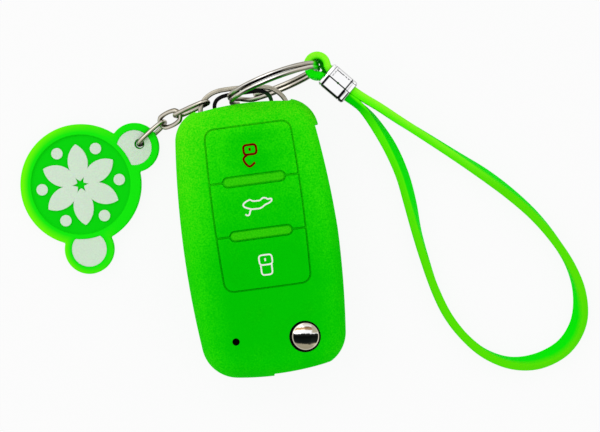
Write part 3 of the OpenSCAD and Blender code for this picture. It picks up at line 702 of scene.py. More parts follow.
def cover_painted_light(skin):
    """Painted light on the cover: paler up at the ring end, at the left and along its edges."""
    up = skin.ramp(skin.y, -8, 34)
    end = skin.ramp(skin.y, 28, 37)
    side = skin.ramp(skin.x * skin.x, 10 ** 2, 18 ** 2) * (0.2 - skin.x * 0.004)
    left = skin.ramp(skin.x * -1, 6, 16) * up
    low = skin.ramp(skin.y * -1, 28, 38)
    return up * 0.4 + end * 0.24 + side + left * 0.14 + low * 0.1 + 0.01


def bar_tone(skin):
    """The raised bars catch more light than the pads beside them."""
    return 0.3 + skin.y * 0.002


def pad_light_and_shade(skin):
    """The cover's painted light, a little deeper, with painted shade in clouds round the unlock sign,
    where the pads are dished a little.
    """
    shade_round_sign = 1.0 - skin.far(PANEL_X + 1, PANEL_Y + PANEL_L / 3 + 0.5, 2, 9)
    return cover_painted_light(skin) - 0.03 - shade_round_sign * skin.noise(9, 1.0) * 0.36


def metal(name, tone, dark, roughness, scratch=0.35):
    """Plated metal with fine rubbing marks and darker worn patches."""
    plate = Finish(name, Metallic=1.0, Roughness=roughness)
    worn = plate.ramp(plate.noise(2.4, 4.0), 0.5, 0.8)
    fine = plate.noise(0.25)
    return plate.done(plate.blend(tone, dark, worn * scratch), roughness + fine * 0.12, fine, 0.004, 0.4)


def wire_metal(name, width, roughness, tones, soft_tones=()):
    """Drawn and plated wire: painted highlights and dark reflections run along it in lines, and it is worn
    in patches.

    With soft tones it is the ring's: its painted reflections are softer in places, and a painted green
    reflection lies where it mirrors the strap's eye.
    """
    plate = Finish(name, Metallic=1.0, Roughness=roughness)
    worn = plate.noise(3.0, 4.0)
    fine = plate.noise(0.25)
    # Painted highlights and reflections: the tones run across the wire's section
    place = plate.section()[0] * (1 / width) + 0.5 + (worn - 0.5) * 0.08
    tone, *soft = (
        plate.bands(place, [((i + 0.5) / len(row), shade) for i, shade in enumerate(row)])
        for row in (tones, soft_tones) if row)
    if soft:
        tone = plate.blend(tone, *soft, ring_softness(plate))
    tone = plate.blend(tone, linear(140, 134, 118), plate.ramp(worn, 0.55, 0.8) * 0.35)
    if soft:
        # Painted reflection: green where the ring mirrors the inside of the strap's eye
        eye = eye_centre()
        inside = 1.0 - plate.far(eye.x, eye.y, 1.0, 1.5)
        tone = plate.blend(tone, linear(24, 216, 4), inside * plate.ramp(plate.z, 10, 11))
    return plate.done(tone, roughness + fine * 0.1, fine, 0.004, 0.4)


def ring_softness(plate):
    """The ring's painted reflections are sharpest on its front, between its left end and the strap."""
    along = plate.x - RING_C[0]
    right = plate.ramp(along, 2, 8)
    left = plate.ramp(along * -1, 8, 11)
    back = 1.0 - plate.ramp(plate.z, 12, 16)
    return (right + left + back).held()


# Painted reflection of a room on the release button's dome, from its bottom to its top
DOME_REFLECTION = (
    (0.0, (150, 142, 118)), (0.2, (160, 152, 128)), (0.24, (52, 52, 44)), (0.28, (20, 24, 22)),
    (0.5, (8, 10, 9)), (0.6, (34, 36, 34)), (0.63, (252, 252, 252)), (0.73, (252, 252, 252)),
    (0.76, (176, 150, 116)), (0.84, (126, 94, 60)), (0.89, (240, 238, 232)), (1.0, (196, 188, 170)))


def button_chrome(name):
    """Polished dome with a painted reflection of a room: white over black, with brown and beige above and
    below.
    """
    dome = Finish(name, Metallic=1.0, Roughness=0.1)
    dx = (dome.x - (PIVOT[0] + DOME_SHIFT)) * (1 / DOME_REACH)
    dy = (dome.y - PIVOT[1]) * (1 / DOME_REACH)
    wave = dome.noise(1.6)
    fine = dome.noise(0.5, 2.0)
    turn = turned(VIEW_ROLL)
    up = dy * turn.x + dx * turn.y
    right = dx * turn.x - dy * turn.y
    bent = up * (right * right * 0.3 + 1.0)
    tone = dome.bands(bent * 0.5 + 0.5 + (wave - 0.5) * 0.1 + (fine - 0.5) * 0.05, DOME_REFLECTION)
    # Painted reflection: beige at the right of the upper part
    side = dome.ramp(right + (wave - 0.5) * 0.3, 0.4, 0.52) * dome.ramp(up, 0.2, 0.32)
    tone = dome.blend(tone, linear(176, 168, 146), side)
    # Painted highlight: a pale rim round the dome's edge, then painted shadow in the dark gap round it
    spread = up * up + right * right
    tone = dome.blend(tone, linear(190, 184, 166), dome.ramp(spread, 0.84, 0.92))
    tone = dome.blend(tone, linear(6, 6, 6), dome.ramp(spread, 0.98, 1.03))
    return dome.done(tone, 0.09 + wave * 0.05, wave, 0.004, 0.3)


def clamp_chrome(name):
    """Bright chrome with painted reflections: white faces, painted black in the folds, along the lower edge
    and at the mouth.
    """
    plate = Finish(name, Metallic=1.0, Roughness=0.08)
    a, b = plate.strap_place()
    a = a - CLAMP_START
    line = plate.line
    ramp = plate.ramp
    wave = plate.noise(0.5, 2.0)
    broken = ramp(plate.noise(0.35, 2.0), 0.42, 0.5)
    low = 1.0 - ramp(b, -0.4, 0.2)
    # Painted shade and dark reflections: black in the folds, along the lower edge, at the mouth and in
    # broken dashes and strokes; the seam is a dark joint
    first = line(a, GROOVE_1, 0.17) * 0.7 + line(a, GROOVE_1, 0.4) * low
    second = line(a, GROOVE_2, 0.28) * 0.9 + line(a, GROOVE_2 + 0.1, 0.5) * (1.0 - ramp(b, -0.6, -0.2))
    seam = line(b, 0.0, 0.23) * ramp(a, 0.9, 1.0) * (1.0 - ramp(a, 6.6, 6.7) * 0.7)
    edge = line(b, -3.2, 0.42) * ramp(a, 1.2, 1.4)
    mouth = line(a, 8.0, 0.22) * low
    dashes = line(b, 2.7, 0.18) * ramp(a, 1.6, 1.8)
    strokes = line(a, GROOVE_1 + 0.7, 0.2) * ramp(b, 0.5, 0.7) * 0.7
    dark = (first + second + seam + edge + mouth + (dashes + strokes) * broken).held()
    # Painted reflection: the white faces turn grey towards their outline and along a line by the mouth
    outline = ramp(b, 3.1, 3.5) + ramp(a, 7.9, 8.35) + ramp(a * -1, -0.1, 0.2) + ramp(b * -1, 3.15, 3.5)
    inner = line(a, 7.35, 0.16) * line(b, 0.2, 2.6) * 0.5
    pale = plate.blend(linear(253, 253, 254), linear(150, 149, 146), (outline * 0.8 + inner).held())
    return plate.done(plate.blend(pale, linear(8, 8, 14), dark), 0.07 + wave * 0.06, wave, 0.003, 0.3)


def tag_finish(name, floor, pale):
    """Soft rubber of the tag: a pale rim with painted light, palest at its outside to the upper left, and a
    deeper sunk floor.
    """
    skin = Finish(name, Roughness=0.55, **SOFT)
    cloud = skin.noise(4)
    grain = skin.noise(0.3, 2.0)
    cx, cy = TAG_AT
    outer = skin.far(cx, cy, 14.6, 16.9)
    for angle in TAG_LOBES:
        lobe = turned(angle) * TAG_LOBE_AT
        outer = outer * skin.far(cx + lobe.x, cy + lobe.y, 5.2, 6.7)
    # Painted light: paler to the left and towards the top, as if lit from the upper left, and broken by
    # clouds and grain
    side = 0.65 - (skin.x - cx) * 0.058 + (skin.y - cy) * 0.01 + (cloud - 0.5) * 0.5 + (grain - 0.5) * 0.5
    rim = skin.far(cx, cy, TAG_FLOOR_R - 0.05, TAG_FLOOR_R + 0.05)
    tone = skin.blend(floor, middle(floor, pale), rim)
    return skin.done(skin.blend(tone, pale, (outer * side).held()), 0.5 + cloud * 0.1, grain, 0.012, 0.5)


def plastic(name, tone, roughness):
    """Moulded plastic with a fine spark-eroded grain."""
    shell = Finish(name, Roughness=roughness, IOR=1.5, Specular_IOR_Level=0.3)
    grain = shell.noise(0.25)
    patch = shell.ramp(shell.noise(6, 2.0), 0.4, 0.75)
    pale = [min(1.0, c * 1.5 + 0.004) for c in tone]
    return shell.done(shell.blend(tone, pale, patch * 0.5), roughness + grain * 0.12, grain, 0.01, 0.7)


# Sizes and colours that a user would change


class CoverSettings(bpy.types.PropertyGroup):
    """Sizes and colours of the cover and its buttons."""

    base: bpy.props.FloatVectorProperty(
        name="Silicone", description="Colour of the cover",
        subtype="COLOR", size=3, default=linear(1, 193, 1))
    # Painted light: the pale silicone is laid on where painted light falls, and in random clouds and specks
    light: bpy.props.FloatVectorProperty(
        name="Pale silicone", description="Paler clouds in the cover",
        subtype="COLOR", size=3, default=linear(88, 232, 14))
    shadow: bpy.props.FloatVectorProperty(
        name="Deep silicone", description="Deeper marks in the cover",
        subtype="COLOR", size=3, default=linear(1, 184, 1))
    edge: bpy.props.FloatProperty(
        name="Edge rounding", description="Rounding of the moulded edges, in millimetres",
        default=0.3, min=0.05, max=0.45)
    print_line: bpy.props.FloatProperty(
        name="Print line", description="Width of the printed lines, in millimetres",
        default=0.5, min=0.2, max=0.6)
    print_red: bpy.props.FloatVectorProperty(
        name="Red print", description="Colour of the unlock print",
        subtype="COLOR", size=3, default=linear(104, 0, 0))
    print_white: bpy.props.FloatVectorProperty(
        name="White print", description="Colour of the other prints",
        subtype="COLOR", size=3, default=linear(238, 240, 232))


class HangingSettings(bpy.types.PropertyGroup):
    """Colours of the ring, chain, tag and strap."""

    strap: bpy.props.FloatVectorProperty(
        name="Strap", description="Colour of the wrist strap",
        subtype="COLOR", size=3, default=linear(8, 234, 6))
    # Painted highlight: the strap's top edge is paler where light falls
    strap_light: bpy.props.FloatVectorProperty(
        name="Strap edge", description="Paler top edge of the strap",
        subtype="COLOR", size=3, default=linear(84, 250, 6))
    # Painted sheen: the palest tone, on the outside of the upper strand
    strap_sheen: bpy.props.FloatVectorProperty(
        name="Strap outside", description="Palest tone, on the outside of the upper strand",
        subtype="COLOR", size=3, default=linear(136, 253, 40))
    tag: bpy.props.FloatVectorProperty(
        name="Tag", description="Colour of the tag",
        subtype="COLOR", size=3, default=linear(10, 214, 14))
    # Painted light: the rim's palest tone, laid on its outside where light falls from the upper left
    tag_rim_lit: bpy.props.FloatVectorProperty(
        name="Tag rim", description="Colour of the tag's raised rim",
        subtype="COLOR", size=3, default=linear(104, 248, 10))
    nickel: bpy.props.FloatVectorProperty(
        name="Nickel", description="Colour of the ring, the bail and the chain",
        subtype="COLOR", size=3, default=linear(172, 166, 150))


class StageSettings(bpy.types.PropertyGroup):
    """Camera, floor and light."""

    lens: bpy.props.FloatProperty(
        name="Lens", description="Focal length in millimetres", default=200.0, min=50, max=250)
    distance: bpy.props.FloatProperty(
        name="Camera height", description="Height of the camera over the table",
        default=0.934, min=0.2, max=1.6, unit="LENGTH")
    roll: bpy.props.FloatProperty(
        name="Roll", description="Turn of the camera about its view",
        default=-math.radians(VIEW_ROLL), subtype="ANGLE")
    floor: bpy.props.FloatProperty(
        name="Floor", description="Brightness of the floor seen by the camera", default=0.975, min=0, max=1)
    room: bpy.props.FloatProperty(
        name="Room light", description="Strength of the even light from all round",
        default=0.83, min=0, max=2)
    key: bpy.props.FloatProperty(
        name="Key light", description="Power of the main lamp in watts", default=1.7, min=0, max=20)


class COVER_OT_stage(bpy.types.Operator):
    """Camera, pale floor and soft studio light"""

    bl_idname = "cover.stage"
    bl_label = "Stage"

    def execute(self, context):
        settings = context.scene.cover_stage
        clear_selection()
        bpy.ops.object.camera_add(
            location=(VIEW_AT[0] * MM, VIEW_AT[1] * MM, settings.distance), rotation=(0, 0, settings.roll))
        camera = context.object
        camera.data.lens = settings.lens
        camera.data.clip_start = 0.01
        context.scene.camera = camera
        bpy.ops.mesh.primitive_plane_add(size=3, location=(0, 0, TABLE_Z))
        floor = context.object
        floor.name = "floor"
        sheet = Finish("floor_paper", Roughness=0.9, Base_Color=(0.9, 0.9, 0.9, 1))
        glow = sheet.node("ShaderNodeEmission", Color=WHITE, Strength=settings.floor)
        sheet.end_mixed("Material Output", sheet.seen() * 0.94, sheet.shader, glow)
        floor.data.materials.append(sheet.material)
        for name, place, aim, size, power in (
                ("key_light", (-0.35, 0.45, 0.75), (0, 0, 0), 0.7, settings.key),
                ("fill_light", (0.55, -0.3, 0.6), (0.01, 0, 0), 0.6, settings.key * 0.3)):
            bpy.ops.object.light_add(type="AREA", location=place)
            lamp = context.object
            lamp.name = name
            lamp.data.size = size
            lamp.data.energy = power
            lamp.rotation_euler = (Vector(aim) - Vector(place)).to_track_quat("-Z", "Y").to_euler()
        context.scene.world = soft_room(settings)
        context.scene.view_settings.view_transform = "Standard"
        return {"FINISHED"}


def soft_room(settings):
    """Even light all round, seen as a white room in metal and through glass."""
    world = bpy.data.worlds.new("soft_room")
    world.use_nodes = True
    room = Nodes(world.node_tree)
    plain = room.tree.nodes["Background"]
    room.put(plain.inputs["Color"], WHITE)
    room.put(plain.inputs["Strength"], settings.room)
    white = room.node("ShaderNodeBackground", Color=WHITE, Strength=settings.floor)
    room.end_mixed("World Output", room.seen(), plain, white)
    return world


# Routes and sections that pieces are drawn along


def smooth_route(points, steps):
    """A smooth curve through the points of a route, each a row of numbers."""
    last = len(points) - 1
    curve = []
    for i in range(last):
        a, b, c, d = (points[min(max(k, 0), last)] for k in (i - 1, i, i + 1, i + 2))
        for s in range(steps):
            u = s / steps
            curve.append(tuple(
                0.5 * (2 * q + (r - p) * u + (2 * p - 5 * q + 4 * r - t) * u ** 2
                       + (3 * q - p - 3 * r + t) * u ** 3)
                for p, q, r, t in zip(a, b, c, d)))
    return curve + [points[-1]]


def heading_at(route, i):
    """Direction of a route at one of its points."""
    return (route[min(i + 1, len(route) - 1)] - route[max(i - 1, 0)]).normalized()


def kept(share):
    """A share kept between 0 and 1."""
    return min(max(share, 0), 1)


def spin_of(*turns):
    """One turn after another, each an angle in degrees and an axis."""
    whole = Matrix()
    for angle, axis in turns:
        whole = whole @ Matrix.Rotation(math.radians(angle), 4, axis)
    return whole


def strap_axes():
    """Directions along the strap's clamp and across it."""
    return turned(STRAP_A), turned(STRAP_A + 90)


def eye_centre():
    """Middle of the strap's eye, on the ring's wire."""
    a = math.radians(RING_A)
    x, y, z = RING_C
    return Vector((x + RING_R * math.cos(a), y + RING_R * math.sin(a), z))


def strap_point(a, b, z=0.0):
    """A point along the clamp, across it and over it, from the middle of the strap's eye."""
    along, across = strap_axes()
    return eye_centre() + along * a + across * b + UP * z


def oval_section(w, h, power):
    """A section between an ellipse and a rectangle."""
    count = 20
    points = []
    for x, y in arc(0, 0, 1, math.pi / count, math.tau + math.pi / count, count)[:-1]:
        points.append(tuple(
            size / 2 * math.copysign(abs(c) ** (2 / power), c) for size, c in ((w, x), (h, y))))
    return points


class COVER_OT_strap(bpy.types.Operator):
    """Free loop of the wrist strap, from the clamp's mouth and back"""

    bl_idname = "cover.strap"
    bl_label = "Wrist strap"

    def execute(self, context):
        along, across = strap_axes()
        mouth = strap_point(CLAMP_START + CLAMP_L, 0)
        tail = across * (BAND_T + TAIL_GAP) / 2
        way = smooth_route([(tail.x, tail.y, mouth.z, 0), *LOOP_ROUTE, (-tail.x, -tail.y, mouth.z, 0)], 6)
        points = [Vector((mouth.x + x, mouth.y + y, z)) for x, y, z, tilt in way]
        headings = [heading_at(points, i) for i in range(len(points))]
        headings[0] = along
        headings[-1] = -along
        section = round_square(0, 0, BAND_T, BAND_W, 0.5, 4)
        rings = []
        for point, heading, place in zip(points, headings, way):
            out = UP.cross(heading).normalized()
            up = heading.cross(out)
            lean = math.radians(place[3])
            thick = math.cos(lean) * out - math.sin(lean) * up
            wide = math.cos(lean) * up + math.sin(lean) * out
            rings.append([point + thick * x + wide * y for x, y in section])
        strap = drawn("wrist_strap", rings)
        carry_section(strap, rings, section)
        finish(strap, "strap", "strap_rubber", strap_finish(context.scene.cover_hanging), "strap_loop")
        return {"FINISHED"}


def strap_finish(settings, at_ring=False):
    """Silicone band with painted light and shade: a highlight on its upper edge, shade on its sides.

    A painted sheen, palest, lies outside the upper strand; there is painted shade near the clamp, and
    painted light and shade on the eye's inner wall.
    """
    band = Finish("strap_silicone", Roughness=0.5, **SOFT, **DEPTH)
    blend = band.blend
    ramp = band.ramp
    deep = settings.strap
    light = settings.strap_light
    cloud = band.noise(9, 2.0)
    grain = band.noise(0.2, 2.0)
    x, y = band.section()
    a, b = band.strap_place()
    if at_ring:
        # At the ring: a painted highlight on the top edge, paler over the upper arc and palest on its
        # outside
        edge = ramp(y + (cloud - 0.5) * 0.8, 1.4, 2.1)
        upper = ramp(b - a * 0.4, -1.8, 0.6)
        rim = blend(middle(deep, light), light, upper)
        rim = blend(rim, settings.strap_sheen, upper * ramp(x * -1, -0.9, 0.0))
        # Painted light on the eye's inner wall, and painted shade along its inner edge
        tone = blend(deep, linear(16, 250, 4), ramp(x, 0.5, 0.9) * (1.0 - edge))
        tone = blend(tone, rim, edge)
        tone = blend(tone, linear(10, 200, 0), ramp(x, 0.75, 1.0) * 0.7)
    else:
        # Painted highlight on the top edge: sharp near the clamp, soft further round the loop
        sharp = ramp(y + (cloud - 0.5) * 0.4, 1.9, 2.25)
        soft = ramp(y + (cloud - 0.5) * 1.2 + (grain - 0.5) * 0.8, 0.4, 2.3)
        edge = sharp + (soft - sharp) * ramp(a, 44, 60)
        # Painted shade near the clamp on the lower strand, and a painted sheen on the outside of the upper
        # strand
        near = 1.0 - ramp(a, 16, 26)
        outer = ramp(x + (cloud - 0.5) * 0.4, -0.5, 0.9) * (1.0 - ramp(a, 26, 62)) * ramp(b, -0.5, 0.0)
        # The top edge's painted highlight is paler near the clamp
        top = blend(linear(86, 226, 4), light, 1.0 - ramp(a, 20, 60))
        tone = blend(deep, top, edge)
        tone = blend(tone, linear(0, 202, 0), near * (1.0 - ramp(b, -0.7, -0.1)))
        tone = blend(tone, settings.strap_sheen, outer * edge)
    return band.done(tone, 0.46 + grain * 0.14, grain, 0.012, 0.5)


class COVER_OT_shell(bpy.types.Operator):
    """Silicone shell of the cover, with its grooves, window, slots and recesses"""

    bl_idname = "cover.shell"
    bl_label = "Cover shell"

    def execute(self, context):
        settings = context.scene.cover_look
        over = COVER_T + 1
        shell = drawn("cover_skin", rounded_rings(0, 0, COVER_T, BACK_EDGE_R, FRONT_EDGE_R))
        cut(shell, drawn("cavity", rounded_rings(WALL, WALL, CAVITY_Z1, BACK_EDGE_R - WALL, CAVITY_EDGE_R)))
        cut(shell, prism("panel_recess", panel_outline(-PANEL_GAP), WEB_Z, over))
        for k in range(3):
            cut(shell, pad_body("pad_room", k, PAD_ROOM, GROOVE_Z, over))
        for name, (low, high) in (("blade_slot", BLADE_SLOT), ("end_slot", END_SLOT)):
            cut(shell, block(name, (*low, SLOT_Z[0]), (*high, SLOT_Z[1])))
        cut(shell, prism("scallop", scallop_outline(), -1, over))
        cut(shell, prism("end_recess", recess_outline(), -1, over))
        window = round_square(0, WINDOW_Z, WINDOW_W, WINDOW_H, WINDOW_R)
        cut(shell, drawn("window", [[(x, y, z) for x, z in window] for y in WINDOW_Y], angle=None))
        cut(shell, prism("release_hole", circle(*PIVOT, RELEASE_HOLE_R, 64), HOLE_FLOOR, over))
        cut(shell, prism("light_hole", circle(*LED_AT, LIGHT_HOLE_R, 32), HOLE_FLOOR, over))
        soften(shell, settings.edge)
        # The cover's silicone carries painted light: paler at the ring end, at the left and along the edges
        skin = silicone("cover_silicone", settings.base, settings.light, settings.shadow, tone=cover_painted_light)
        finish(shell, "key", "silicone", skin, "cover_shell")
        tones = (linear(34, 184, 4), linear(90, 218, 18), linear(24, 172, 2))
        skin = silicone("bar_silicone", *tones, tone=bar_tone)
        for k, y in enumerate(bar_places()):
            bar = prism(f"pad_bar_{k + 1}", stadium(PANEL_X, y, BAR_L, BAR_W), CAVITY_Z1, COVER_T + BAR_RISE)
            soften(bar, 0.5, 4)
            finish(bar, "key", "silicone", skin)
        return {"FINISHED"}


def rounded_rings(inset, z0, z1, back_r, front_r):
    """Rings of a body with rounded back and front edges."""
    steps = 9
    back = [at_height(cover_outline(inset + side), z0 + rise) for rise, side in rolled(back_r, steps)]
    front = [at_height(cover_outline(inset + side), z1 - drop) for side, drop in rolled(front_r, steps)]
    return back + front


def scallop_outline():
    """Finger scallop beside the blade, fading to nothing at the middle of the side."""
    top = COVER_L / 2 - RING_CORNER_R
    points = []
    for i in range(13):
        y = top * (1 - i / 12)
        x = COVER_W / 2 - SIDE_BOW_R + math.sqrt(SIDE_BOW_R ** 2 - y * y)
        points.append((x - SCALLOP_D * (1 - i / 12), y))
    return points + [(COVER_W / 2 + 1, 0), (COVER_W / 2 + 1, top)]


def recess_outline():
    """Shallow recess in the blade end."""
    x0 = -1.2
    x1 = COVER_W / 2 - BLADE_CORNER_R / 2
    points = []
    for i in range(13):
        x = x0 + (x1 - x0) * i / 12
        points.append((x, -COVER_L / 2 + END_BOW_R - math.sqrt(END_BOW_R ** 2 - x * x) + RECESS_D))
    return points + [(x1, -COVER_L / 2 - 1), (x0, -COVER_L / 2 - 1)]


def bar_places():
    """Heights along the panel of the two bars between the pads."""
    return [PANEL_Y + PANEL_L / 2 - k * PANEL_L / 3 for k in (1, 2)]


def pad_body(name, k, grow, z0, z1):
    """One pad between its grooves, cut out round the bars beside it and grown by a little."""
    high = PANEL_Y + PANEL_L / 2 - k * PANEL_L / 3
    low = high - PANEL_L / 3
    gap = GROOVE_HALF - grow * 0.6
    high = high + 2 if k == 0 else high - gap
    low = low - 2 if k == 2 else low + gap
    pad = prism(name, panel_outline(-grow), z0, z1)
    cut(pad, block("band", (-20, low, z0 - 1), (20, high, z1 + 1)), operation="INTERSECT")
    for y in bar_places():
        room = stadium(PANEL_X, y, BAR_ROOM_L - grow * 2, BAR_ROOM_W - grow * 2)
        cut(pad, prism("bar_room", room, z0 - 1, z1 + 1))
    return pad


def line_print(name, lines, z0, thickness, width):
    """Printed lines: drawn as one thin curve that is turned into a mesh."""
    clear_selection()
    bpy.ops.curve.primitive_bezier_curve_add()
    curve = bpy.context.object.data
    curve.dimensions = "3D"
    curve.bevel_depth = width / 2 * MM
    curve.bevel_resolution = 3
    curve.use_fill_caps = True
    curve.splines.clear()
    for points, closed in lines:
        spline = curve.splines.new("POLY")
        spline.points.add(len(points) - 1)
        spline.use_cyclic_u = closed
        for target, (x, y) in zip(spline.points, points):
            target.co = (x * MM, y * MM, 0, 1)
    bpy.ops.object.convert(target="MESH")
    piece = named(bpy.context.object, name)
    for vertex in piece.data.vertices:
        vertex.co.z = z0 * MM + vertex.co.z * thickness / width
    settle(piece)
    smooth(piece)
    return piece


def rounded_line(points, r, closed):
    """A line through points with its corners rounded."""
    count = len(points)
    steps = 4
    out = []
    for i, p in enumerate(points):
        if not closed and i in (0, count - 1):
            out.append(p)
            continue
        p = Vector(p)
        a = Vector(points[i - 1])
        b = Vector(points[(i + 1) % count])
        start = p + (a - p).normalized() * min(r, (a - p).length / 2)
        end = p + (b - p).normalized() * min(r, (b - p).length / 2)
        for k in range(steps + 1):
            u = k / steps
            q = start * (1 - u) ** 2 + p * 2 * u * (1 - u) + end * u * u
            out.append((q.x, q.y))
    return out


# The signs: ink, width beside the setting, rounding of corners, and lines with whether each is closed
PRINTS = {
    "unlock": ("red", 1.3, 0.9, [
        ([(-1.4, 25.85), (2.1, 25.85), (2.1, 23.2), (-1.4, 23.2)], True),
        ([(0.3, 25.0), (0.3, 24.15)], False),
        ([(-0.48, 23.2), (-1.9, 22.4), (-1.45, 21.0), (-0.45, 19.75), (0.45, 20.15), (1.3, 20.87)], False)]),
    "boot": ("white", 0.88, 0.4, [
        ([(-3.5, 9.8), (-2.75, 10.4), (-1.4, 10.9), (-0.8, 10.35), (1.25, 10.27), (2.05, 10.93), (3.0, 10.8),
          (3.36, 10.36), (4.42, 10.48), (4.55, 9.9), (3.63, 9.27), (2.63, 9.05), (1.72, 8.41), (0.84, 8.1),
          (-1.36, 8.2), (-2.7, 8.72), (-3.4, 9.16)], True),
        ([(-1.36, 8.2), (-1.85, 7.64), (-1.95, 7.0), (-2.5, 6.48), (-3.2, 7.0)], False)]),
    "lock": ("white", 0.88, 0.9, [
        ([(-1.15, -4.7), (2.45, -4.7), (2.45, -7.42), (-1.15, -7.42)], True),
        ([(0.52, -5.6), (0.52, -6.4)], False),
        ([(-0.88, -7.42), (-0.87, -10.2), (2.1, -10.2), (2.12, -7.42)], False)]),
}


class COVER_OT_pads(bpy.types.Operator):
    """Three button pads with their printed signs"""

    bl_idname = "cover.pads"
    bl_label = "Button pads"

    def execute(self, context):
        settings = context.scene.cover_look
        # The pads carry the cover's painted light, and painted shade round the unlock sign
        skin = silicone("pad_silicone", settings.base, settings.light, settings.shadow, tone=pad_light_and_shade)
        inks = {
            "red": ink_finish("red_print", settings.print_red),
            "white": ink_finish("white_print", settings.print_white)}
        for k, (name, (ink, share, rounding, lines)) in enumerate(PRINTS.items()):
            pad = pad_body(f"{name}_button", k, PAD_GROW, PAD_Z0, COVER_T)
            soften(pad, settings.edge)
            finish(pad, f"{name}_button", "silicone", skin, f"{name}_pad")
            strokes = [(rounded_line(points, rounding, closed), closed) for points, closed in lines]
            sign = line_print(f"{name}_sign", strokes, COVER_T, PRINT_T, settings.print_line * share)
            finish(sign, f"{name}_button", "silicone", inks[ink])
        return {"FINISHED"}


def ink_finish(name, tone):
    """Screen-printed ink, a little uneven."""
    ink = Finish(name, Roughness=0.45, Specular_IOR_Level=0.01)
    patch = ink.noise(0.5)
    uneven = ink.blend(tone, [c * 0.78 for c in tone], ink.ramp(patch, 0.45, 0.8))
    return ink.done(uneven, 0.4 + patch * 0.15, patch, 0.008, 0.5)


class COVER_OT_key(bpy.types.Operator):
    """Release button, status light, bail and eyelet of the key, and the finish of its inner pieces"""

    bl_idname = "cover.key"
    bl_label = "Key"

    def execute(self, context):
        nickel = metal("satin_nickel", context.scene.cover_hanging.nickel, linear(120, 112, 96), 0.22, 0.6)
        steel = metal("cut_steel", linear(200, 200, 204), linear(150, 150, 156), 0.3)
        brass = metal("brass", linear(206, 176, 110), linear(160, 130, 80), 0.3)
        case = plastic("case_black", linear(16, 16, 17), 0.45)
        gloss = eyelet_gloss()
        rubber = plastic("key_rubber", linear(32, 32, 33), 0.7)
        button = spun("release_cap", release_profile(), PIVOT, 96, 35)
        finish(button, "release", "chrome", button_chrome("dome_chrome"), "release_button")
        bail = bent_bar("bail", BAIL_ROUTE, oval_section(*BAIL_SECTION))
        finish(bail, "key", "nickel", nickel, "key_bail")
        eyelet = bent_bar("eyelet", EYELET_ROUTE, oval_section(*EYELET_SECTION))
        finish(eyelet, "key", "gloss_plastic", gloss, "case_eyelet")
        for material, nodes in (
                (case, ("upper_case", "lower_case", "blade_carrier")),
                (rubber, ("unlock_key", "boot_key", "lock_key")),
                (steel, ("blade", "blade_pin", "tact_switches", "battery", "flip_spring")),
                (brass, ("battery_clip", "pivot_post")),
                (gloss, ("transponder",)),
                (plastic("board_green", linear(18, 92, 52), 0.4), ("circuit_board",)),
                (ink_finish("light_window", linear(9, 2, 2)), ("status_led",))):
            for node in nodes:
                mesh = NODES[node].data
                mesh.materials.clear()
                mesh.materials.append(material)
        return {"FINISHED"}


def bent_bar(name, way, section):
    """A bar bent to a route that lies at the middle of the key's thickness."""
    route = [Vector((x, y, MID_Z)) for x, y in smooth_route(way, 5)]
    rings = []
    for i, point in enumerate(route):
        out = UP.cross(heading_at(route, i))
        rings.append([point + out * x + UP * y for x, y in section])
    return drawn(name, rings)


def eyelet_gloss():
    """Gloss black with a painted reflection of the cover's green low down."""
    gloss = Finish("gloss_black", Roughness=0.14, Specular_IOR_Level=0.08)
    patch = gloss.noise(1.5, 2.0)
    # Painted reflection of the green cover, low down and to the right
    low = 1.0 - gloss.ramp(gloss.y + (patch - 0.5), 38.6, 39.9)
    tone = gloss.blend(linear(3, 3, 3), linear(6, 70, 10), low * gloss.ramp(gloss.x, 2, 6))
    return gloss.done(tone, 0.12 + patch * 0.08, patch, 0.003, 0.4)


def release_profile():
    """Radius and height round the release button, from the middle of its dome down the outside."""
    dome_r = (CAP_R * CAP_R + 1.0) / 2
    flat_r = CAP_R - CAP_EDGE_R
    upright = math.pi / 2
    dome = arc(0, CAP_TOP - dome_r, dome_r, upright, upright - math.asin(flat_r / dome_r), 12)
    edge = arc(flat_r, dome[-1][1] - CAP_EDGE_R, CAP_EDGE_R, upright, 0, 5)
    return dome + edge[1:] + list(CAP_SKIRT)


# Painted highlights and reflections across the split ring's two turns, where they are sharp and where they
# are soft, and across a link
RING_REFLECTIONS = (
    (130, 124, 110), (182, 176, 162), (253, 251, 246), (12, 9, 7), (3, 2, 2), (3, 2, 2), (12, 9, 7),
    (196, 190, 176), (250, 246, 236), (252, 249, 242), (8, 6, 5), (10, 18, 6), (40, 124, 30))
RING_SOFT_REFLECTIONS = (
    (120, 114, 100), (170, 165, 152), (196, 190, 178), (176, 170, 156), (140, 134, 120), (84, 78, 66),
    (130, 124, 110), (186, 180, 166), (222, 216, 204), (196, 190, 176), (150, 146, 130), (96, 104, 80))
LINK_HIGHLIGHTS = ((104, 98, 84), (150, 143, 126), (222, 216, 204), (180, 172, 154), (110, 103, 88))


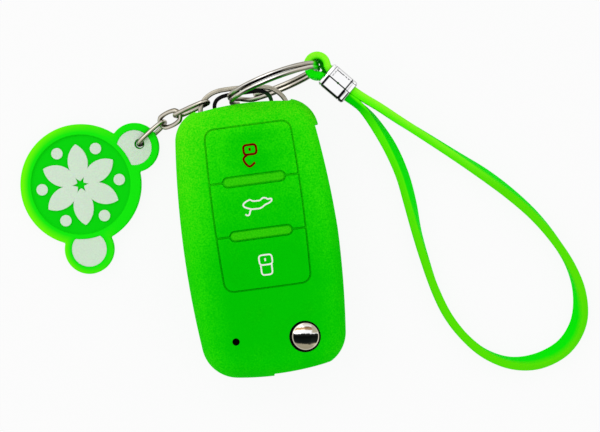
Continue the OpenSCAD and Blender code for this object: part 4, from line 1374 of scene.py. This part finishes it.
class COVER_OT_ring(bpy.types.Operator):
    """Split ring and the chain's links"""

    bl_idname = "cover.ring"
    bl_label = "Ring and chain"

    def execute(self, context):
        nickel = wire_metal("ring_nickel", RING_PITCH + RING_WIRE, 0.18, RING_REFLECTIONS, RING_SOFT_REFLECTIONS)
        turn = spin_of((RING_A, "Z"), (90 - RING_LEAN, "X"))
        right, low = RING_SQUEEZE
        section = oval_section(RING_WIRE_T + RING_FILL, RING_WIRE, 3.0)
        rings = []
        rises = []
        for i in range(RING_STEPS + 1):
            a = RING_END_A + (720 - 2 * RING_END_A) * i / RING_STEPS
            u = kept((a - 360 + RING_END_A) / (2 * RING_END_A))
            outward = turned(a + RING_START_A)
            squeeze = 1 - right * max(outward.x, 0) ** 2 - low * max(-outward.y, 0) ** 2
            rise = RING_PITCH * (u * u * (3 - 2 * u) - 0.5)
            rings.append([
                Vector(RING_C) + turn @ (outward * (RING_R + y) + UP * (rise * squeeze + x))
                for x, y in section])
            rises.append(rise)
        ring = drawn("split_ring_wire", rings)
        carry_section(ring, rings, section, rises)
        finish(ring, "ring", "nickel", nickel, "split_ring")
        chain = wire_metal("chain_nickel", 1.25, 0.22, LINK_HIGHLIGHTS)
        for k, place, slope, direction, pitch, width, on_edge in LINKS:
            turn = spin_of((direction, "Z"), (-slope, "Y"), (90 - LINK_TWIST if on_edge else 0, "X"))
            place = Matrix.Translation(Vector(place) * MM) @ turn
            link = chain_link(f"link_{k}", pitch, width, on_edge, place)
            finish(link, f"link_{k}", "nickel", chain, f"chain_link_{k}")
        return {"FINISHED"}


def chain_link(name, pitch, width, on_edge, place):
    """An oval link: a ring of wire drawn out to its pitch and set in place."""
    clear_selection()
    bpy.ops.mesh.primitive_torus_add(
        major_segments=48, minor_segments=16, major_radius=width / 2 * MM, minor_radius=LINK_WIRE_R * MM)
    link = named(bpy.context.object, name)
    across = []
    for vertex in link.data.vertices:
        x, y, z = vertex.co / MM
        out = math.hypot(x, y) - width / 2
        across.append((z, out, 0.0) if on_edge else (out, z, 0.0))
        stretch = (pitch - width) * kept(x / (0.6 * width) + 0.5)
        vertex.co.x += (stretch + width / 2) * MM
        vertex.co = place @ vertex.co
    store_section(link, across)
    smooth(link)
    return link


class COVER_OT_clasp(bpy.types.Operator):
    """Strap's eye round the ring, and the crimped clamp"""

    bl_idname = "cover.clasp"
    bl_label = "Strap clamp"

    def execute(self, context):
        section = round_square(0, 0, EYE_BAND_T, BAND_W, 0.5, 4)
        rings = eye_rings(section)
        eye = drawn("strap_end", rings)
        carry_section(eye, rings, section)
        band = strap_finish(context.scene.cover_hanging, at_ring=True)
        finish(eye, "strap", "strap_rubber", band, "strap_eye")
        outline = [tuple(turned(t) * r)[:2] for r, t in EYE_FOLD]
        outline += [(CLAMP_START + 0.1, 1.0), (CLAMP_START + 0.1, -1.0)]
        low, high = (eye_centre().z + z for z in EYE_FOLD_Z)
        fold = prism("eye_fold", [tuple(strap_point(a, b))[:2] for a, b in outline], low, high)
        soften(fold, 0.1, 2)
        finish(fold, "strap", "strap_rubber", band)
        clamp = drawn("clamp", clamp_rings())
        bore = round_square(0, 0, CLAMP_W - 2 * CLAMP_SHEET, CLAMP_H - 2 * CLAMP_SHEET, 0.15, 3)
        for name, outline in (("bore", bore), ("seam", CLAMP_SEAM)):
            ends = (CLAMP_START - 1, CLAMP_START + CLAMP_L + 1)
            cut(clamp, drawn(name, [[strap_point(a, x, y) for x, y in outline] for a in ends], angle=None))
        notch = strap_point(CLAMP_START + CLAMP_L / 2, 0)
        cut(clamp, prism("notch", circle(notch.x, notch.y, CLAMP_NOTCH_R, 24), notch.z + 1.5, notch.z + 5))
        smooth(clamp, 40)
        finish(clamp, "strap", "chrome", clamp_chrome("clamp_chrome"), "strap_clamp")
        return {"FINISHED"}


def eye_rings(section):
    """Rings of the band from the clamp's mouth round the split ring and back, leaning with the ring."""
    along, across = strap_axes()
    away = turned(RING_A + 90)
    tail = (BAND_T + TAIL_GAP) / 2
    way = [(a, tail + spread) for a, spread in EYE_TAIL]
    way += arc(0, 0, EYE_R + EYE_BAND_T / 2, math.radians(40), math.radians(176), 17)
    way += [(a, -b) for a, b in reversed(way[:-1])]
    route = [Vector(place) for place in way]
    rings = []
    for i, (a, b) in enumerate(way):
        step = heading_at(route, i)
        inward = UP.cross(along * step.x + across * step.y)
        lean = math.tan(math.radians(EYE_LEAN)) * kept((3.6 - a) / 2.4)
        thick = 1 + EYE_SWELL * kept((a - 1.5) / 1.5)
        rings.append([strap_point(a, b, y) + inward * x * thick + away * y * lean for x, y in section])
    return rings


def clamp_rings():
    """Rings of the clamp from end to end: rolled ends and two pressed folds."""
    end = rolled(CLAMP_ROLL, 5)
    first, second = ([(at + off, depth) for off, depth in CLAMP_FOLD] for at in (GROOVE_1, GROOVE_2))
    far_end = [(CLAMP_L - a, inset) for a, inset in reversed(end)]
    stations = [*end, *first, (CLAMP_L / 2, 0), *second, *far_end]
    rings = []
    for a, inset in stations:
        outline = round_square(
            0, 0, CLAMP_W + CLAMP_GROW - 2 * inset, CLAMP_H - 2 * inset, CLAMP_EDGE_R - inset)
        a = CLAMP_START + (a - CLAMP_L / 2) * CLAMP_STRETCH + CLAMP_L / 2
        rings.append([strap_point(a, x, y) for x, y in outline])
    return rings


class COVER_OT_tag(bpy.types.Operator):
    """Soft tag with its white inlay"""

    bl_idname = "cover.tag"
    bl_label = "Tag"

    def execute(self, context):
        settings = context.scene.cover_hanging
        body = reworked("tag_body", "tag_disc")
        soften(body, 0.5, 4, 30)
        green = tag_finish("tag_silicone", settings.tag, settings.tag_rim_lit)
        finish(body, "tag", "tag_rubber", green, "tag_body")
        lip = spun("hole_lip", LIP_PROFILE, TAG_HOLE, 48, 40)
        # Painted shade: the lip round the tag's hole is deep green, as the hole in shade
        skin = silicone("lip_shade_silicone", linear(8, 104, 12), linear(30, 150, 24), linear(4, 84, 8))
        finish(lip, "tag", "tag_rubber", skin)
        inlay = reworked("tag_inlay", "tag_rosette")
        soften(inlay, 0.16, 3, 30)
        tones = (linear(206, 221, 204), linear(222, 232, 222), linear(188, 206, 186))
        finish(inlay, "tag", "tag_white", silicone("inlay_white", *tones, 0.42), "tag_inlay")
        return {"FINISHED"}


class COVER_PT_panel(bpy.types.Panel):
    """Sizes, colours and steps of the key cover"""

    bl_label = "Key cover"
    bl_idname = "COVER_PT_panel"
    bl_space_type = "VIEW_3D"
    bl_region_type = "UI"
    bl_category = "Key cover"

    def draw(self, context):
        for group in (context.scene.cover_look, context.scene.cover_hanging, context.scene.cover_stage):
            for name in group.bl_rna.properties.keys():
                if name not in ("rna_type", "name"):
                    self.layout.prop(group, name)
        for step in STEPS:
            self.layout.operator(step.bl_idname)


STEPS = (
    COVER_OT_stage, COVER_OT_strap, COVER_OT_clasp, COVER_OT_shell, COVER_OT_pads, COVER_OT_key,
    COVER_OT_ring, COVER_OT_tag)
CLASSES = (CoverSettings, HangingSettings, StageSettings, *STEPS, COVER_PT_panel)


def register():
    for kind in CLASSES:
        bpy.utils.register_class(kind)
    bpy.types.Scene.cover_look = bpy.props.PointerProperty(type=CoverSettings)
    bpy.types.Scene.cover_hanging = bpy.props.PointerProperty(type=HangingSettings)
    bpy.types.Scene.cover_stage = bpy.props.PointerProperty(type=StageSettings)


def unregister():
    del bpy.types.Scene.cover_stage
    del bpy.types.Scene.cover_hanging
    del bpy.types.Scene.cover_look
    for kind in reversed(CLASSES):
        bpy.utils.unregister_class(kind)


def main():
    register()
    bpy.ops.cover.stage()
    bpy.ops.cover.strap()
    bpy.ops.cover.clasp()
    bpy.ops.cover.shell()
    bpy.ops.cover.pads()
    bpy.ops.cover.key()
    bpy.ops.cover.ring()
    bpy.ops.cover.tag()
    clear_selection()


if __name__ == "__main__":
    main()
